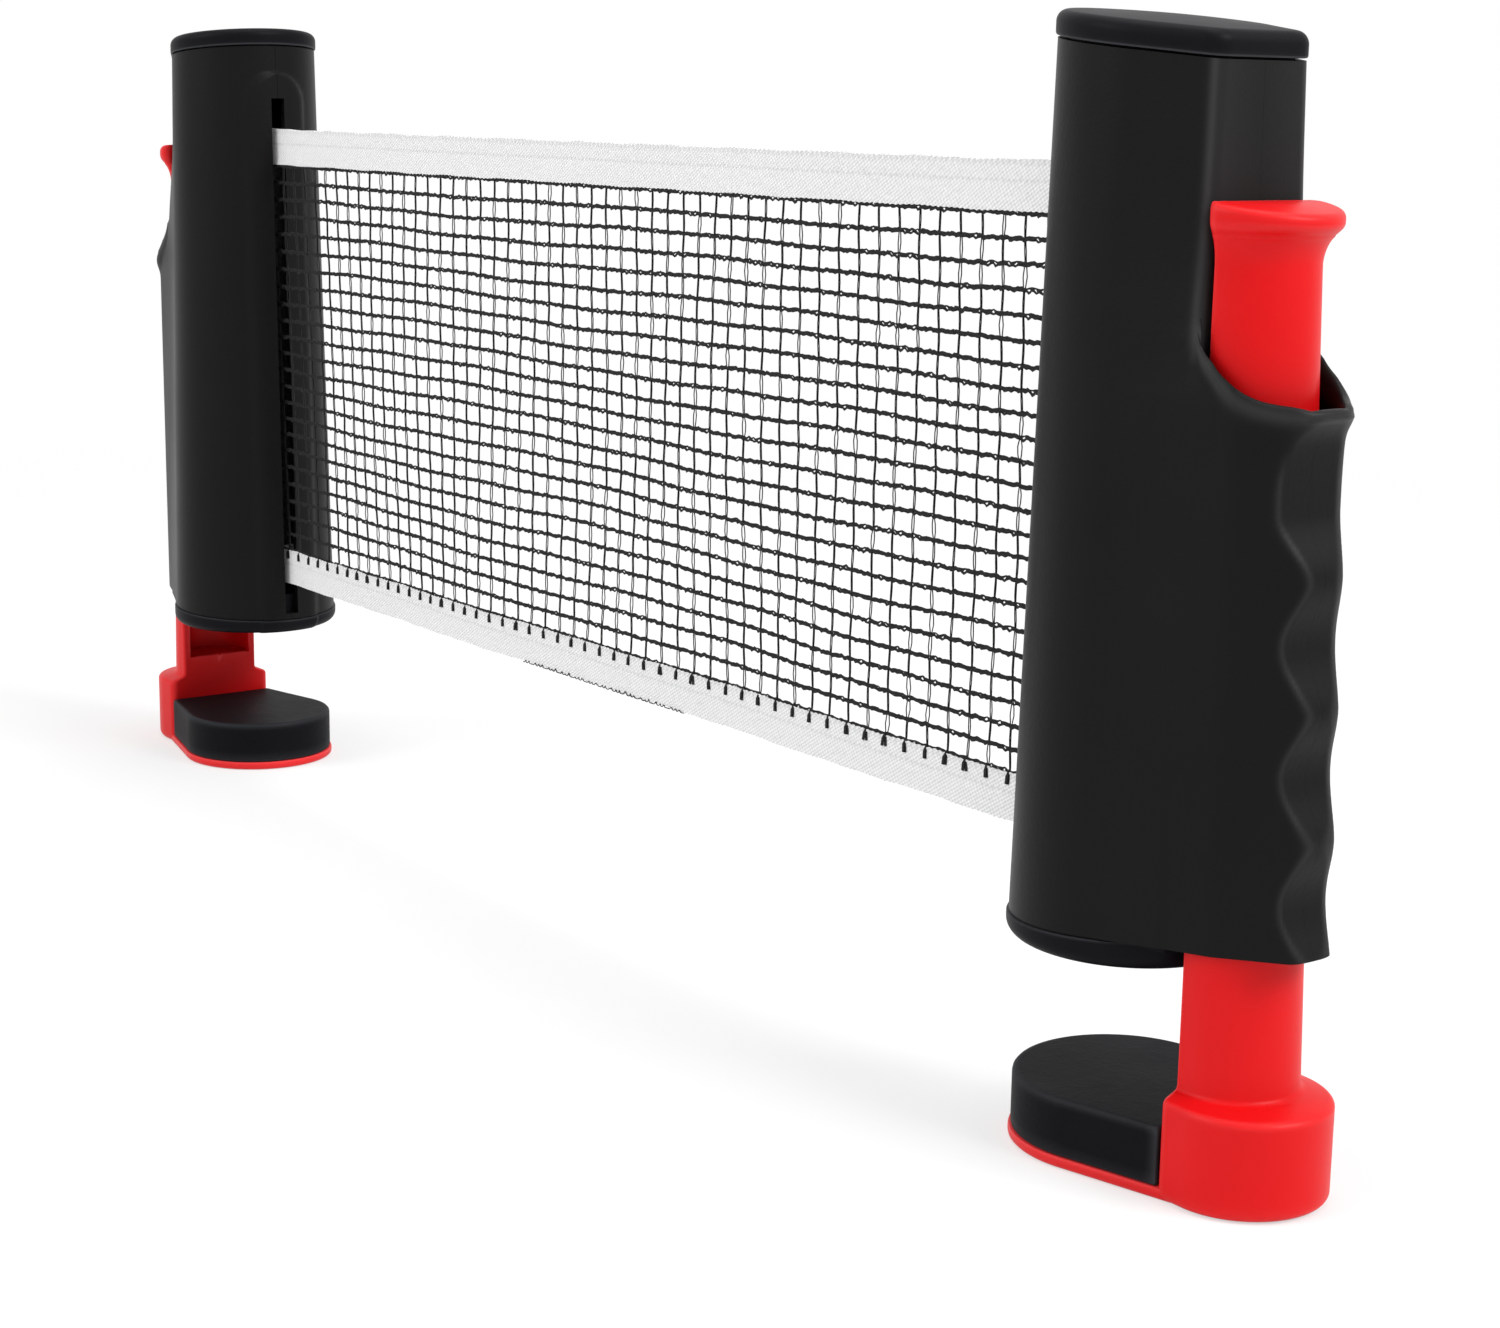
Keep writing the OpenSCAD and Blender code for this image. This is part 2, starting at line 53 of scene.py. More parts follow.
CAMERA_PLACE = (0.7659, -0.3724, 0.1636)
YAW, PITCH, ROLL = (math.radians(a) for a in (143.48, -11.84, 0.92))
LENS_MM, SENSOR_MM, CLIP_START = 64.7, 36.0, 0.01


def stand(axes, place):
    """The matrix of an object at a place, with its own x, y and z along the three axes."""
    rows = [[*map(float, row), along] for row, along in zip(np.stack(axes, 1), place)]
    return Matrix(rows + [[0.0, 0.0, 0.0, 1.0]])


forward = np.array([math.cos(PITCH) * math.cos(YAW), math.cos(PITCH) * math.sin(YAW), math.sin(PITCH)])
level = np.array([math.sin(YAW), -math.cos(YAW), 0.0])
upright = np.cross(level, forward)
across = math.cos(ROLL) * level + math.sin(ROLL) * upright
upward = math.cos(ROLL) * upright - math.sin(ROLL) * level
camera = bpy.data.objects.new("camera", bpy.data.cameras.new("camera"))
camera.data.lens, camera.data.sensor_width, camera.data.clip_start = LENS_MM, SENSOR_MM, CLIP_START
camera.matrix_world = stand((across, upward, -forward), CAMERA_PLACE)
bpy.context.scene.collection.objects.link(camera)
bpy.context.scene.camera = camera
bpy.context.scene.view_settings.view_transform = "Standard"


# ---------------------------------------------------------------------------
# Housing: two glass-filled nylon halves in each post, moulded with a fine spark
# texture and joined on the line down the back. Each half is a bay of the tapering
# D-shaped tube, with a wall that swells into the finger grip round the clamp.

# Millimetres in post A's own frame: the reel's axis is at x = y = 0, the net leaves
# towards +x, the grip is at -x, and z = 0 is the table's top.
SPAN = 393.0
FOOT_Z, HOUSING_H = 5.4, 174.5
FOOT_SLOPE, TOP_SLOPE = math.tan(math.radians(2.5)), math.tan(math.radians(6.0))
NOSE_R_FOOT, NOSE_R_TOP = 24.5, 21.2
BACK_X_FOOT, BACK_X_TOP = 26.4, 24.3
BACK_HALF_FOOT, BACK_HALF_TOP = 16.8, 12.3
SWELL, SWELL_Z, SWELL_LONG = 1.4, 121.0, 17.0
CREASE_ROUND, TUBE_WALL, GRIP_WALL = 2.2, 2.2, 1.2
SEAM_HALF, UNDERLAP = 0.015, 0.06
SLOT_HALF, SLOT_LOW, SLOT_HIGH = 2.0, 6.0, 161.5
SURROUND_HALF, SURROUND_ARCH_Z, SURROUND_PROUD = 9.5, 159.5, 0.9
FLANK_X, FLANK_HALF, GRIP_END_R, GRIP_ROUND = 28.9, 14.6, 7.0, 1.6
REACH_FOOT, REACH_LIP = 50.6, 47.2
CREST_Z, CREST_PITCH, CREST_X, CREST_LEAN, TOP_CREST_X = 79.0, 24.6, 49.7, 0.048, 45.9
FINGER_DEEP, LONG_GROOVE_DEEP = 3.9, 4.6
SCOOP_Z, SCOOP_DEEP, SCOOP_LONG, LIP_Z, LIP_X = 122.4, 13.1, 19.0, 108.5, 44.9
LIP_BEAD, LIP_BEAD_HALF = 1.1, 2.6


def mix(a, b, t):
    return a + (b - a) * t


def limit(t):
    return np.clip(t, 0, 1)


def ease(t):
    """t held to 0 to 1, with a soft start and end."""
    t = limit(t)
    return t * t * (3 - 2 * t)


def bell(t):
    """1 at t = 0, falling softly to nothing by about t = 2 on either side."""
    return np.exp(-(t**2))


def nose_r(z):
    return mix(NOSE_R_FOOT, NOSE_R_TOP, z / HOUSING_H)


def back_x(z):
    return mix(BACK_X_FOOT, BACK_X_TOP, z / HOUSING_H)


def back_half(z):
    """Half the flat back's width: a straight taper with a slight swell beside the scoop."""
    return mix(BACK_HALF_FOOT, BACK_HALF_TOP, z / HOUSING_H) + SWELL * bell((z - SWELL_Z) / SWELL_LONG)


def crease_angle(z):
    return np.arctan2(back_half(z), -back_x(z))


def grip_x(z):
    """Reach of the grip: a leaning line of crests, less the round-bottomed finger grooves, and
    under the lip less one long groove that starts softly and ends in a quick curve."""
    turn = limit((z - CREST_Z) / (LIP_Z - CREST_Z))
    line = np.where(z < CREST_Z, CREST_X - CREST_LEAN * z, mix(TOP_CREST_X, LIP_X, turn))
    finger = FINGER_DEEP * ((1 - np.cos(2 * np.pi * (z - CREST_Z) / CREST_PITCH)) / 2) ** 0.8
    quick = ((1 - np.cos(2 * np.pi * turn)) / 2) ** 0.25
    long = LONG_GROOVE_DEEP * np.where(turn < 0.5, ease(turn / 0.42), quick)
    return line - np.where(z < CREST_Z, finger, long)


def rounded_cut(a, b, r):
    """Distance to the overlap of two shapes, with the edge between them rounded to radius r."""
    return np.minimum(np.maximum(a, b), -r) + np.hypot(np.maximum(a + r, 0), np.maximum(b + r, 0))


def soft_join(a, b, r):
    """Distance to two shapes together, with the corner between them filled over a width of r."""
    near = np.maximum(r - np.abs(a - b), 0) / r
    return np.minimum(a, b) - near * near * r / 4


def capsule(x, y, r_near, r_far, length):
    """Distance to a circle at the origin and one at (length, 0), with straight tangents between
    them, in the half plane y > 0."""
    lean = (r_near - r_far) / length
    side = np.sqrt(1 - lean**2)
    along = x * side - y * lean
    near = np.hypot(x, y) - r_near
    far = np.hypot(x - length, y) - r_far
    return np.where(along < 0, near, np.where(along > length * side, far, x * lean + y * side - r_near))


def nosed(x, y, r, end, back, corner):
    """Distance to a round nose of radius r at the origin, whose tangents run back to a point at
    end, (how far back, how far aside), and to its mirror image, and are cut by a flat back; the
    corners there are rounded."""
    long = np.hypot(*end)
    lean = r / long
    side = np.sqrt(1 - lean**2)
    out_x, out_y = -end[0] / long, end[1] / long
    face_x, face_y = lean * out_x + side * out_y, lean * out_y - side * out_x
    y = np.abs(y)
    along = x * -face_y + y * face_x
    sides = np.where(along > 0, x * face_x + y * face_y - r, np.hypot(x, y) - r)
    return rounded_cut(sides, -x - back, corner)


def tube_distance(x, y, z):
    """The D-shaped tube: a round nose whose tangents run to a flat back, its two creases rounded."""
    return nosed(x, y, nose_r(z), (back_x(z) - 1.0, back_half(z)), back_x(z), CREASE_ROUND)


def flank_distance(x, y, z):
    """The grip in plan before its grooves: the nose, the flanks and the rounded end under one skin."""
    y = np.abs(y)
    reach = mix(REACH_FOOT, REACH_LIP, z / LIP_Z)
    flank = mix(FLANK_HALF, back_half(z) - 0.3, limit((z - LIP_Z) / 22))
    outer = capsule(-FLANK_X - x, y, flank, GRIP_END_R, np.maximum(reach - GRIP_END_R - FLANK_X, 8.0))
    inner = capsule(-x, y, nose_r(z) - 1.0, flank, FLANK_X)
    return np.minimum(inner, outer)


def grip_distance(x, y, z):
    """The grip with the finger grooves cut across it; over the scoop it sinks into the tube."""
    sink = 1.1 * ease((z - 109) / 14) + 7.0 * limit((z - 122) / 8) ** 2
    return rounded_cut(flank_distance(x, y, z), -x - grip_x(z), GRIP_ROUND) + sink


def surround(y, z):
    """1 on the raised surround of the net slot and 0 off it: a band with a half-round upper end
    and softened edges."""
    edge = np.where(z > SURROUND_ARCH_Z, np.hypot(y, z - SURROUND_ARCH_Z), np.abs(y)) - SURROUND_HALF
    return ease(0.5 - edge / 0.9)


def outside(x, y, z):
    """The housing's outer skin: tube and grip flow together, and the slot's surround stands
    proud of the nose."""
    skin = soft_join(tube_distance(x, y, z), grip_distance(x, y, z), 1.0)
    return skin - SURROUND_PROUD * surround(y, z) * (x > 0)


def foot_edge(points):
    return FOOT_Z - points[..., 0] * FOOT_SLOPE


def top_edge(points):
    return HOUSING_H + points[..., 0] * TOP_SLOPE


def rim_height(x):
    """Height of the scoop's rim: a quarter ellipse that leaves the crease upright and runs out
    level to the lip."""
    out = np.maximum(-x - back_x(SCOOP_Z), 0)
    reach = np.minimum(out - SCOOP_LONG - 2.1 * np.minimum(out / 4, 1) ** 0.75, 0)
    return SCOOP_Z - SCOOP_DEEP * np.sqrt(np.clip(1 - (reach / SCOOP_LONG) ** 2, 0, None))


def rays(angles, z, distance, nearest=3.0, furthest=70.0, halvings=24):
    """Points where level rays from the reel's axis leave a shape, at given angles and heights;
    the reach is found by halving the stretch from nearest to furthest."""
    c, s = np.cos(angles), np.sin(angles)
    low, high = np.full(c.shape, nearest), np.full(c.shape, furthest)
    for _ in range(halvings):
        half = (low + high) / 2
        inside = distance(half * c, half * s, z) < 0
        low, high = np.where(inside, half, low), np.where(inside, high, half)
    return np.stack([low * c, low * s, z + 0 * c], -1)


def even_steps(stops):
    """Numbers that run through the stops, each given with the count of steps that leads to it."""
    parts = [np.linspace(a, b, n, endpoint=False) for (a, _), (b, n) in zip(stops[:-1], stops[1:])]
    return np.concatenate([*parts, [stops[-1][0]]])


def grid_quads(rows, columns, loop_rows=False, loop_columns=False):
    """Four-sided faces between neighbouring points of a grid, closed round in either direction."""
    index = np.arange(rows * columns).reshape(rows, columns)
    if loop_rows:
        index = np.concatenate([index, index[:1]])
    if loop_columns:
        index = np.concatenate([index, index[:, :1]], 1)
    return np.stack([index[:-1, :-1], index[:-1, 1:], index[1:, 1:], index[1:, :-1]], -1).reshape(-1, 4)


def walled(outer, inner, over=0):
    """A wall between two grids of the same shape: rows go up the outer one, over the top edge on
    a half circle in over steps, and down the inner one; foot and side edges are closed."""
    top = []
    if over:
        out, into = outer[-1], inner[-1]
        middle, half = (out + into) / 2, (out - into) / 2
        size = np.linalg.norm(half, axis=1, keepdims=True)
        wall = half / size
        rise = outer[-1] - outer[-3]
        rise = rise - (rise * wall).sum(1, keepdims=True) * wall
        rise /= np.linalg.norm(rise, axis=1, keepdims=True)
        turns = np.linspace(0, math.pi, over + 2)[1:-1]
        top = [(middle + half * math.cos(a) + rise * size * math.sin(a))[None] for a in turns]
    ring = np.concatenate([outer, *top, inner[::-1]])
    rows, columns = ring.shape[:2]
    quads = [grid_quads(rows, columns, loop_rows=True)]
    up = np.arange(rows // 2)
    ladder = np.stack([up, up + 1, rows - 2 - up, rows - 1 - up], 1)[: rows // 2 - (1 - rows % 2)]
    for column in (0, columns - 1):
        quads.append(ladder * columns + column)
    return ring.reshape(-1, 3), np.concatenate(quads)


def mesh_piece(name, shells, body, finish, post="a", sharp=38):
    """Shells, each (points, quads) in millimetres, become one piece that rides on its body;
    post B's is turned half round about the net's middle."""
    points, quads, first = [], [], 0
    for shell_points, shell_quads in shells:
        points.append(shell_points)
        quads.append(shell_quads + first)
        first += len(shell_points)
    points = np.concatenate(points) / 1000
    if post == "b":
        points = points * [-1, -1, 1] + [SPAN / 1000, 0, 0]
    mesh = bpy.data.meshes.new(name)
    mesh.from_pydata(points, [], np.concatenate(quads))
    loose = bmesh.new()
    loose.from_mesh(mesh)
    bmesh.ops.remove_doubles(loose, verts=loose.verts, dist=2e-6)
    bmesh.ops.dissolve_degenerate(loose, edges=loose.edges, dist=1e-7)
    bmesh.ops.recalc_face_normals(loose, faces=loose.faces)
    loose.to_mesh(mesh)
    loose.free()
    mesh.shade_smooth()
    mesh.set_sharp_from_angle(angle=math.radians(sharp))
    mesh.materials.append(finish)
    piece = bpy.data.objects.new(name, mesh)
    bpy.context.scene.collection.objects.link(piece)
    if body:
        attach(piece, body)
    return piece


def tube_half(side):
    """One half of the tube: columns run from the slot's edge round the nose and the crease to
    the seam, rows from foot to top, closer together near the scoop, the crease and the top."""
    levels = even_steps([(0, 0), (0.9, 110), (0.982, 34), (1, 6)])[:, None]
    round_nose = [(0, 0), (0.085, 7), (0.115, 6), (0.38, 24), (0.47, 12)]
    crease_and_back = [(0.5, 20), (0.62, 14), (0.995, 12), (1, 1)]
    share = even_steps(round_nose + crease_and_back)[None]

    def angles(z):
        slot, seam = np.arcsin(SLOT_HALF / nose_r(z)), math.pi - SEAM_HALF / back_x(z)
        to_crease, to_seam = mix(slot, crease_angle(z), 2 * share), mix(crease_angle(z), seam, 2 * share - 1)
        return np.where(share < 0.5, to_crease, to_seam)

    def skin(x, y, z):
        past = np.arctan2(np.abs(y), x) - crease_angle(z)
        covered = UNDERLAP * limit((past + 0.05) / 0.03) * limit((120 - z) / 3)
        return np.where(past > 0.03, tube_distance(x, y, z), outside(x, y, z)) + covered

    def surface(inset):
        low, high = 5.0 + 0 * share, HOUSING_H + 0 * share
        for _ in range(3):
            z = mix(low, high, levels)
            points = rays(angles(z), z, lambda x, y, z: skin(x, y, z) + inset)
            low, high = foot_edge(points)[:1], top_edge(points)[-1:]
        return points

    outer, inner = surface(0), surface(TUBE_WALL)
    inner[:, 0, 1] = outer[:, 0, 1]
    flip = [1, side, 1]
    return walled(outer * flip, inner * flip)


def grip_half(side):
    """One half of the grip: columns run from under the crease round to the middle of the finger
    side, rows from the foot up to the rim of the scoop, where a bead flares out to the lip."""
    levels = even_steps([(0, 0), (0.93, 96), (1, 16)])[:, None]
    share = even_steps([(0, 0), (0.9965, 53), (1, 1)])[None]

    def angles(z):
        return mix(crease_angle(z) - 0.10, math.pi - SEAM_HALF / 45, share)

    def under(x, y, z):
        before = crease_angle(z) - np.arctan2(y, x)
        step = 0.6 * limit(before / 0.05) * limit((z - 118) / 4)
        return outside(x, y, z) + UNDERLAP * limit((before - 0.05) / 0.04) + step

    def surface(inset, flare, rim):
        low = 5.0 + 0 * share
        for _ in range(3):
            z = mix(low, rim, levels)
            lift = flare * bell((rim - 1.3 - z) / LIP_BEAD_HALF) * limit((share - 0.12) / 0.25)
            points = rays(angles(z), z, lambda x, y, z: under(x, y, z) + inset - lift)
            low = foot_edge(points)[:1]
        return points

    low, high = np.full(share.shape, 96.0), np.full(share.shape, 134.0)
    for _ in range(18):
        half = (low + high) / 2
        below = half < rim_height(rays(angles(half), half, under)[..., 0])
        low, high = np.where(below, half, low), np.where(below, high, half)
    outer, inner = surface(0.0, LIP_BEAD, high), surface(GRIP_WALL, -0.4, high)
    flip = [1, side, 1]
    return walled(outer * flip, inner * flip, over=7)


def bridge(low, high, side):
    """The short front wall that joins the halves above or below the slot."""
    levels, share = np.linspace(0, 1, 44)[:, None], np.linspace(0, 1, 5)[None]

    def surface(inset):
        foot, top = low + 0 * share, high + 0 * share
        for _ in range(3):
            z = mix(foot, top, levels)
            angles = mix(0.05 / nose_r(z), np.arcsin(SLOT_HALF / nose_r(z)), share)
            points = rays(angles, z, lambda x, y, z: outside(x, y, z) + inset)
            if high == HOUSING_H:
                top = top_edge(points)[-1:]
            else:
                foot = foot_edge(points)[:1]
        return points

    flip = [1, side, 1]
    return walled(surface(0) * flip, surface(TUBE_WALL) * flip)


def linear(colour):
    """Light values of an 8-bit screen colour, opaque."""
    c = np.array(colour) / 255
    return (*np.where(c <= 0.04045, c / 12.92, ((c + 0.055) / 1.055) ** 2.4).tolist(), 1)


def feed(tree, node, sockets):
    """Gives inputs of a node, by name or number, a value or the output that feeds them."""
    for socket, value in sockets.items():
        if isinstance(value, bpy.types.NodeSocket):
            tree.links.new(value, node.inputs[socket])
        else:
            node.inputs[socket].default_value = value
    return node


def add(tree, kind, sockets):
    return feed(tree, tree.nodes.new("ShaderNode" + kind), sockets)


def maths(tree, operation, *values):
    """One operation on numbers or outputs."""
    node = add(tree, "Math", dict(enumerate(values)))
    node.operation = operation
    return node.outputs[0]


def ramp(tree, value, start, end, low=0.0, high=1.0, smooth=False):
    """Value from start to end becomes low to high, and is held at both."""
    ends = {"From Min": start, "From Max": end, "To Min": low, "To Max": high}
    node = add(tree, "MapRange", {"Value": value, **ends})
    if smooth:
        node.interpolation_type = "SMOOTHSTEP"
    return node.outputs[0]


def mixed(tree, share, a, b, way="MIX"):
    """Colour a goes to colour b by share."""
    node = tree.nodes.new("ShaderNodeMix")
    node.data_type, node.blend_type = "RGBA", way
    return feed(tree, node, {0: share, 6: a, 7: b}).outputs[2]


def new_finish(name):
    finish = bpy.data.materials.new(name)
    finish.use_nodes = True
    return finish, finish.node_tree, finish.node_tree.nodes["Principled BSDF"]


def grain_group():
    """Fine moulded grain as a reusable group: two noises of the object's own space give a bump
    height, broad clouds give a tone from 0 to 1, and curvature within a window gives a mask for
    edge wear together with a painted highlight on convex edges."""
    group = bpy.data.node_groups.new("moulded grain", "ShaderNodeTree")
    for name, start in (("Grain Size", 3000.0), ("Cloud Size", 30.0)):
        socket = group.interface.new_socket(name=name, in_out="INPUT", socket_type="NodeSocketFloat")
        socket.default_value = start
    for name in ("Height", "Tone", "Wear And Highlight"):
        group.interface.new_socket(name=name, in_out="OUTPUT", socket_type="NodeSocketFloat")
    given = group.nodes.new("NodeGroupInput").outputs
    place = add(group, "TexCoord", {}).outputs["Object"]

    def noise(size, detail):
        return add(group, "TexNoise", {"Scale": size, "Vector": place, "Detail": detail}).outputs["Fac"]

    fine = noise(given["Grain Size"], 2.0)
    coarse = noise(maths(group, "MULTIPLY", given["Grain Size"], 0.31), 1.0)
    edge = add(group, "NewGeometry", {}).outputs["Pointiness"]
    feed(group, group.nodes.new("NodeGroupOutput"), {
        "Height": maths(group, "ADD", fine, coarse),
        "Tone": noise(given["Cloud Size"], 4.0),
        # Convex edges: a mask for edge wear together with a painted highlight.
        "Wear And Highlight": maths(group, "MULTIPLY", ramp(group, edge, 0.505, 0.56), ramp(group, edge, 0.64, 0.58)),
    })
    return group


GRAIN = grain_group()
ROUGH_DRIFT = 0.06


def moulded(name, low, high, wear_and_highlight, rough, bump, size=3000.0, clouds=30.0, specular=0.5, painted=False):
    """A moulded plastic or rubber: its colour drifts between low and high with the grain's clouds
    and goes to the edge colour along edges, as edge wear together with a painted highlight; the
    edges are found by the piece's curvature or, where painted, given by its edge attribute, which
    holds painted highlights; bump is the grain's depth in metres."""
    finish, tree, surface = new_finish(name)
    grain = tree.nodes.new("ShaderNodeGroup")
    grain.node_tree = GRAIN
    feed(tree, grain, {"Grain Size": size, "Cloud Size": clouds})
    tone, edge = grain.outputs["Tone"], grain.outputs["Wear And Highlight"]
    if painted:
        given = add(tree, "Attribute", {})
        given.attribute_name = "edge"
        edge = given.outputs["Fac"]
    dent = add(tree, "Bump", {"Strength": 1.0, "Distance": bump, "Height": grain.outputs["Height"]})
    feed(tree, surface, {
        # Along edges the colour goes to the edge colour: edge wear together with a painted highlight.
        "Base Color": mixed(tree, edge, mixed(tree, tone, linear(low), linear(high)), linear(wear_and_highlight)),
        "Roughness": ramp(tree, tone, 0.0, 1.0, rough - ROUGH_DRIFT, rough + ROUGH_DRIFT),
        "Normal": dent.outputs[0],
        "Specular IOR Level": specular,
    })
    return finish


def paint_edge_highlights(piece, post, painted_highlight):
    """Writes the piece's edge attribute, a painted highlight: the given function gives it, from 0
    to 1, for places in post A's own frame.
    """
    mesh = piece.data
    place = np.zeros(len(mesh.vertices) * 3, np.float32)
    mesh.vertices.foreach_get("co", place)
    x, y, z = place.reshape(-1, 3).astype(float).T * 1000
    if post == "b":
        x, y = SPAN - x, -y
    edge = mesh.attributes.new("edge", "FLOAT", "POINT")
    edge.data.foreach_set("value", limit(painted_highlight(x, y, z)).astype(np.float32))


def housing_painted_highlight(x, y, z):
    """Painted highlights on the housing's edges: a light line down each crease that dies away over
    the back as painted light on the back face, a band along the scoop's rim, and thin lines round
    the finger grooves."""
    past = (np.arctan2(np.abs(y), x) - crease_angle(z)) * np.hypot(back_x(z), back_half(z))
    line = np.where(past < 0, bell(past / 1.0), 0.55 * bell(past / 0.7) + 0.45 * np.exp(-past / 12))
    crease = line * limit((z - 117) / 5)
    band = bell((rim_height(x) - z - 0.4) / 1.6) * mix(0.65, 1.0, limit((z - 112) / 8))
    turned = bell((flank_distance(x, y, z) + 1.0) / 0.4) * limit((-x - grip_x(z) + 0.9) / 0.3)
    groove = 0.6 * turned * limit((103 - z) / 6)
    outer = limit(-x - 24.2) * limit(outside(x, y, z) + 0.8)
    return np.maximum(crease, np.maximum(band, groove) * outer)


# The edge colour (50, 50, 51) here is the painted highlight that the edge attribute gives.
nylon = moulded(
    "charcoal nylon", (11, 11, 11), (16, 16, 16), (50, 50, 51), rough=0.42, bump=0.00003,
    size=2600, specular=0.1, painted=True,
)
for post in "ab":
    for half, side in (("left", 1), ("right", -1)):
        above, below = bridge(SLOT_HIGH, HOUSING_H, side), bridge(FOOT_Z, SLOT_LOW, side)
        shells = [tube_half(side), grip_half(side), above, below]
        wall = mesh_piece(f"housing_wall_{half}_{post}", shells, f"post_{post}", nylon, post)
        paint_edge_highlights(wall, post, housing_painted_highlight)
        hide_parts(f"housing_{half}_{post}")


# ---------------------------------------------------------------------------
# Top cap: a lid of polished nylon pressed into the tube. Its skirt overhangs the
# wall by less than half a millimetre, above a thin shadow gap, and its lid is
# slightly domed and slopes down towards the grip.

LID_OVERHANG, LID_GAP, LID_SHOULDER, LID_ROUND, LID_DOME = 0.4, 0.45, 2.9, 2.4, 0.6
COLLAR_CLEAR, COLLAR_DEEP = 1.3, 6.0

# The edge colour (58, 59, 62) here is the painted highlight that the edge attribute gives along the lid and
# the base.
polished = moulded(
    "polished nylon", (11, 11, 14), (20, 20, 24), (58, 59, 62), rough=0.45, bump=0.00002,
    size=1800, clouds=55, specular=0.05, painted=True,
)


def turned_outline(profile, outline):
    """A profile of (scale, inset, rise) carried round an outline: each ring is the outline drawn
    in by inset, scaled about its middle, and raised."""
    middle = outline[..., :2].mean(0)
    reach = outline[..., :2] - middle
    length = np.linalg.norm(reach, axis=-1, keepdims=True)
    rings = []
    for scale, inset, rise in profile:
        flat = middle + reach * (1 - inset / length) * scale
        rings.append(np.concatenate([flat, outline[..., 2:] + rise], -1))
    return np.stack(rings)


def d_outline(inset, z, count=160):
    """The tube's outline at a height, round the whole section, with more points at the creases."""
    t = np.linspace(0, 2 * math.pi, count, endpoint=False)
    crease = crease_angle(z)
    from_nose = np.abs(np.mod(t + math.pi, 2 * math.pi) - math.pi)
    pull = 0.25 * np.sin(2 * (t - crease)) * bell((from_nose - crease) / 0.5)
    angles = t - pull * np.sign(np.sin(t))
    return rays(angles, np.full(count, z), lambda x, y, z: tube_distance(x, y, z) + inset)


def closed_rings(rings):
    """A closed skin over rings of points: quads between rings, with the first and last gathered
    to a point."""
    rows, count = rings.shape[:2]
    ends = [np.repeat(ring.mean(0, keepdims=True), count, 0)[None] for ring in (rings[0], rings[-1])]
    rings = np.concatenate([ends[0], rings, ends[1]])
    return rings.reshape(-1, 3), grid_quads(rows + 2, count, loop_columns=True)


def lid_painted_highlight(x, y, z):
    """A painted highlight: the light line along the skirt's lower edge."""
    return bell((z - x * TOP_SLOPE - HOUSING_H - 0.6) / 0.25)


for post in "ab":
    under = [(s, 2.6, LID_GAP) for s in (0.3, 0.7, 1)] + [(1, 1.2, LID_GAP), (1, 0.5, LID_GAP)]
    skirt = [(1, 0.2, 0.52), (1, 0.05, 0.7), (1, 0, 1.0), (1, 0, 1.6), (1, 0, 2.3)]
    bend = [(1 - math.sin(a), math.cos(a)) for a in np.linspace(math.pi / 2, 0.05, 11)]
    rounded = [(1, LID_ROUND * into, LID_SHOULDER + LID_ROUND * up) for into, up in bend]
    crown = LID_SHOULDER + LID_ROUND
    shares = (0.97, 0.93, 0.87, 0.78, 0.66, 0.52, 0.36, 0.18)
    dome = [(s, LID_ROUND, crown + LID_DOME * (1 - s * s)) for s in shares]
    lid = turned_outline(under + skirt + rounded + dome, d_outline(-LID_OVERHANG, HOUSING_H))
    lid[..., 2] += lid[..., 0] * TOP_SLOPE
    plug = [(1, 1.4, -COLLAR_DEEP), *((1, 0.9, rise) for rise in (-COLLAR_DEEP, 0, 1.5)), (1, 1.4, 1.5)]
    collar = turned_outline(plug, d_outline(COLLAR_CLEAR, HOUSING_H))
    collar[..., 2] += collar[..., 0] * TOP_SLOPE * (collar[..., 2] > HOUSING_H - 1.5)
    shells = [closed_rings(lid), closed_rings(collar)]
    cap = mesh_piece(f"top_lid_{post}", shells, f"post_{post}", polished, post)
    paint_edge_highlights(cap, post, lid_painted_highlight)
    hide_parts(f"top_cap_{post}")


# ---------------------------------------------------------------------------
# Base cap: the post's foot, a disc of the same nylon with a full round lower edge.
# It follows the slot's surround, holds the rubber disc in a recess and is held by
# two screws; its collar and the axle's socket stand up into the housing.

BASE_R, BASE_ROUND, BASE_H = 24.9, 3.0, 5.1
SCREW_R, SCREW_PLACE = 2.6, 11.03


def stacked(outline, steps):
    """Rings of one outline, drawn in by each step's inset, at its height."""
    length = np.linalg.norm(outline[:, :2], axis=1, keepdims=True)
    rings = []
    for inset, z in steps:
        flat = outline[:, :2] * (1 - inset / length)
        rings.append(np.concatenate([flat, np.full((len(flat), 1), z)], 1))
    return np.stack(rings)


def circle(r, count=180):
    t = np.linspace(0, 2 * math.pi, count, endpoint=False)
    return np.stack([r * np.cos(t), r * np.sin(t)], 1)


def hollowed(piece, cutter):
    """Takes the cutter's shape out of a piece and keeps the result as the piece's own mesh."""
    cut = piece.modifiers.new("hollow", "BOOLEAN")
    cut.object, cut.operation, cut.solver = cutter, "DIFFERENCE", "EXACT"
    bpy.context.view_layer.update()
    opened = bpy.data.meshes.new_from_object(piece.evaluated_get(bpy.context.evaluated_depsgraph_get()))
    piece.modifiers.clear()
    piece.data = opened
    bpy.data.objects.remove(cutter)


def base_painted_highlight(x, y, z):
    """A painted highlight: the light line along the disc's upper edge."""
    return 0.6 * bell((z + x * FOOT_SLOPE - BASE_H + 0.05) / 0.2)


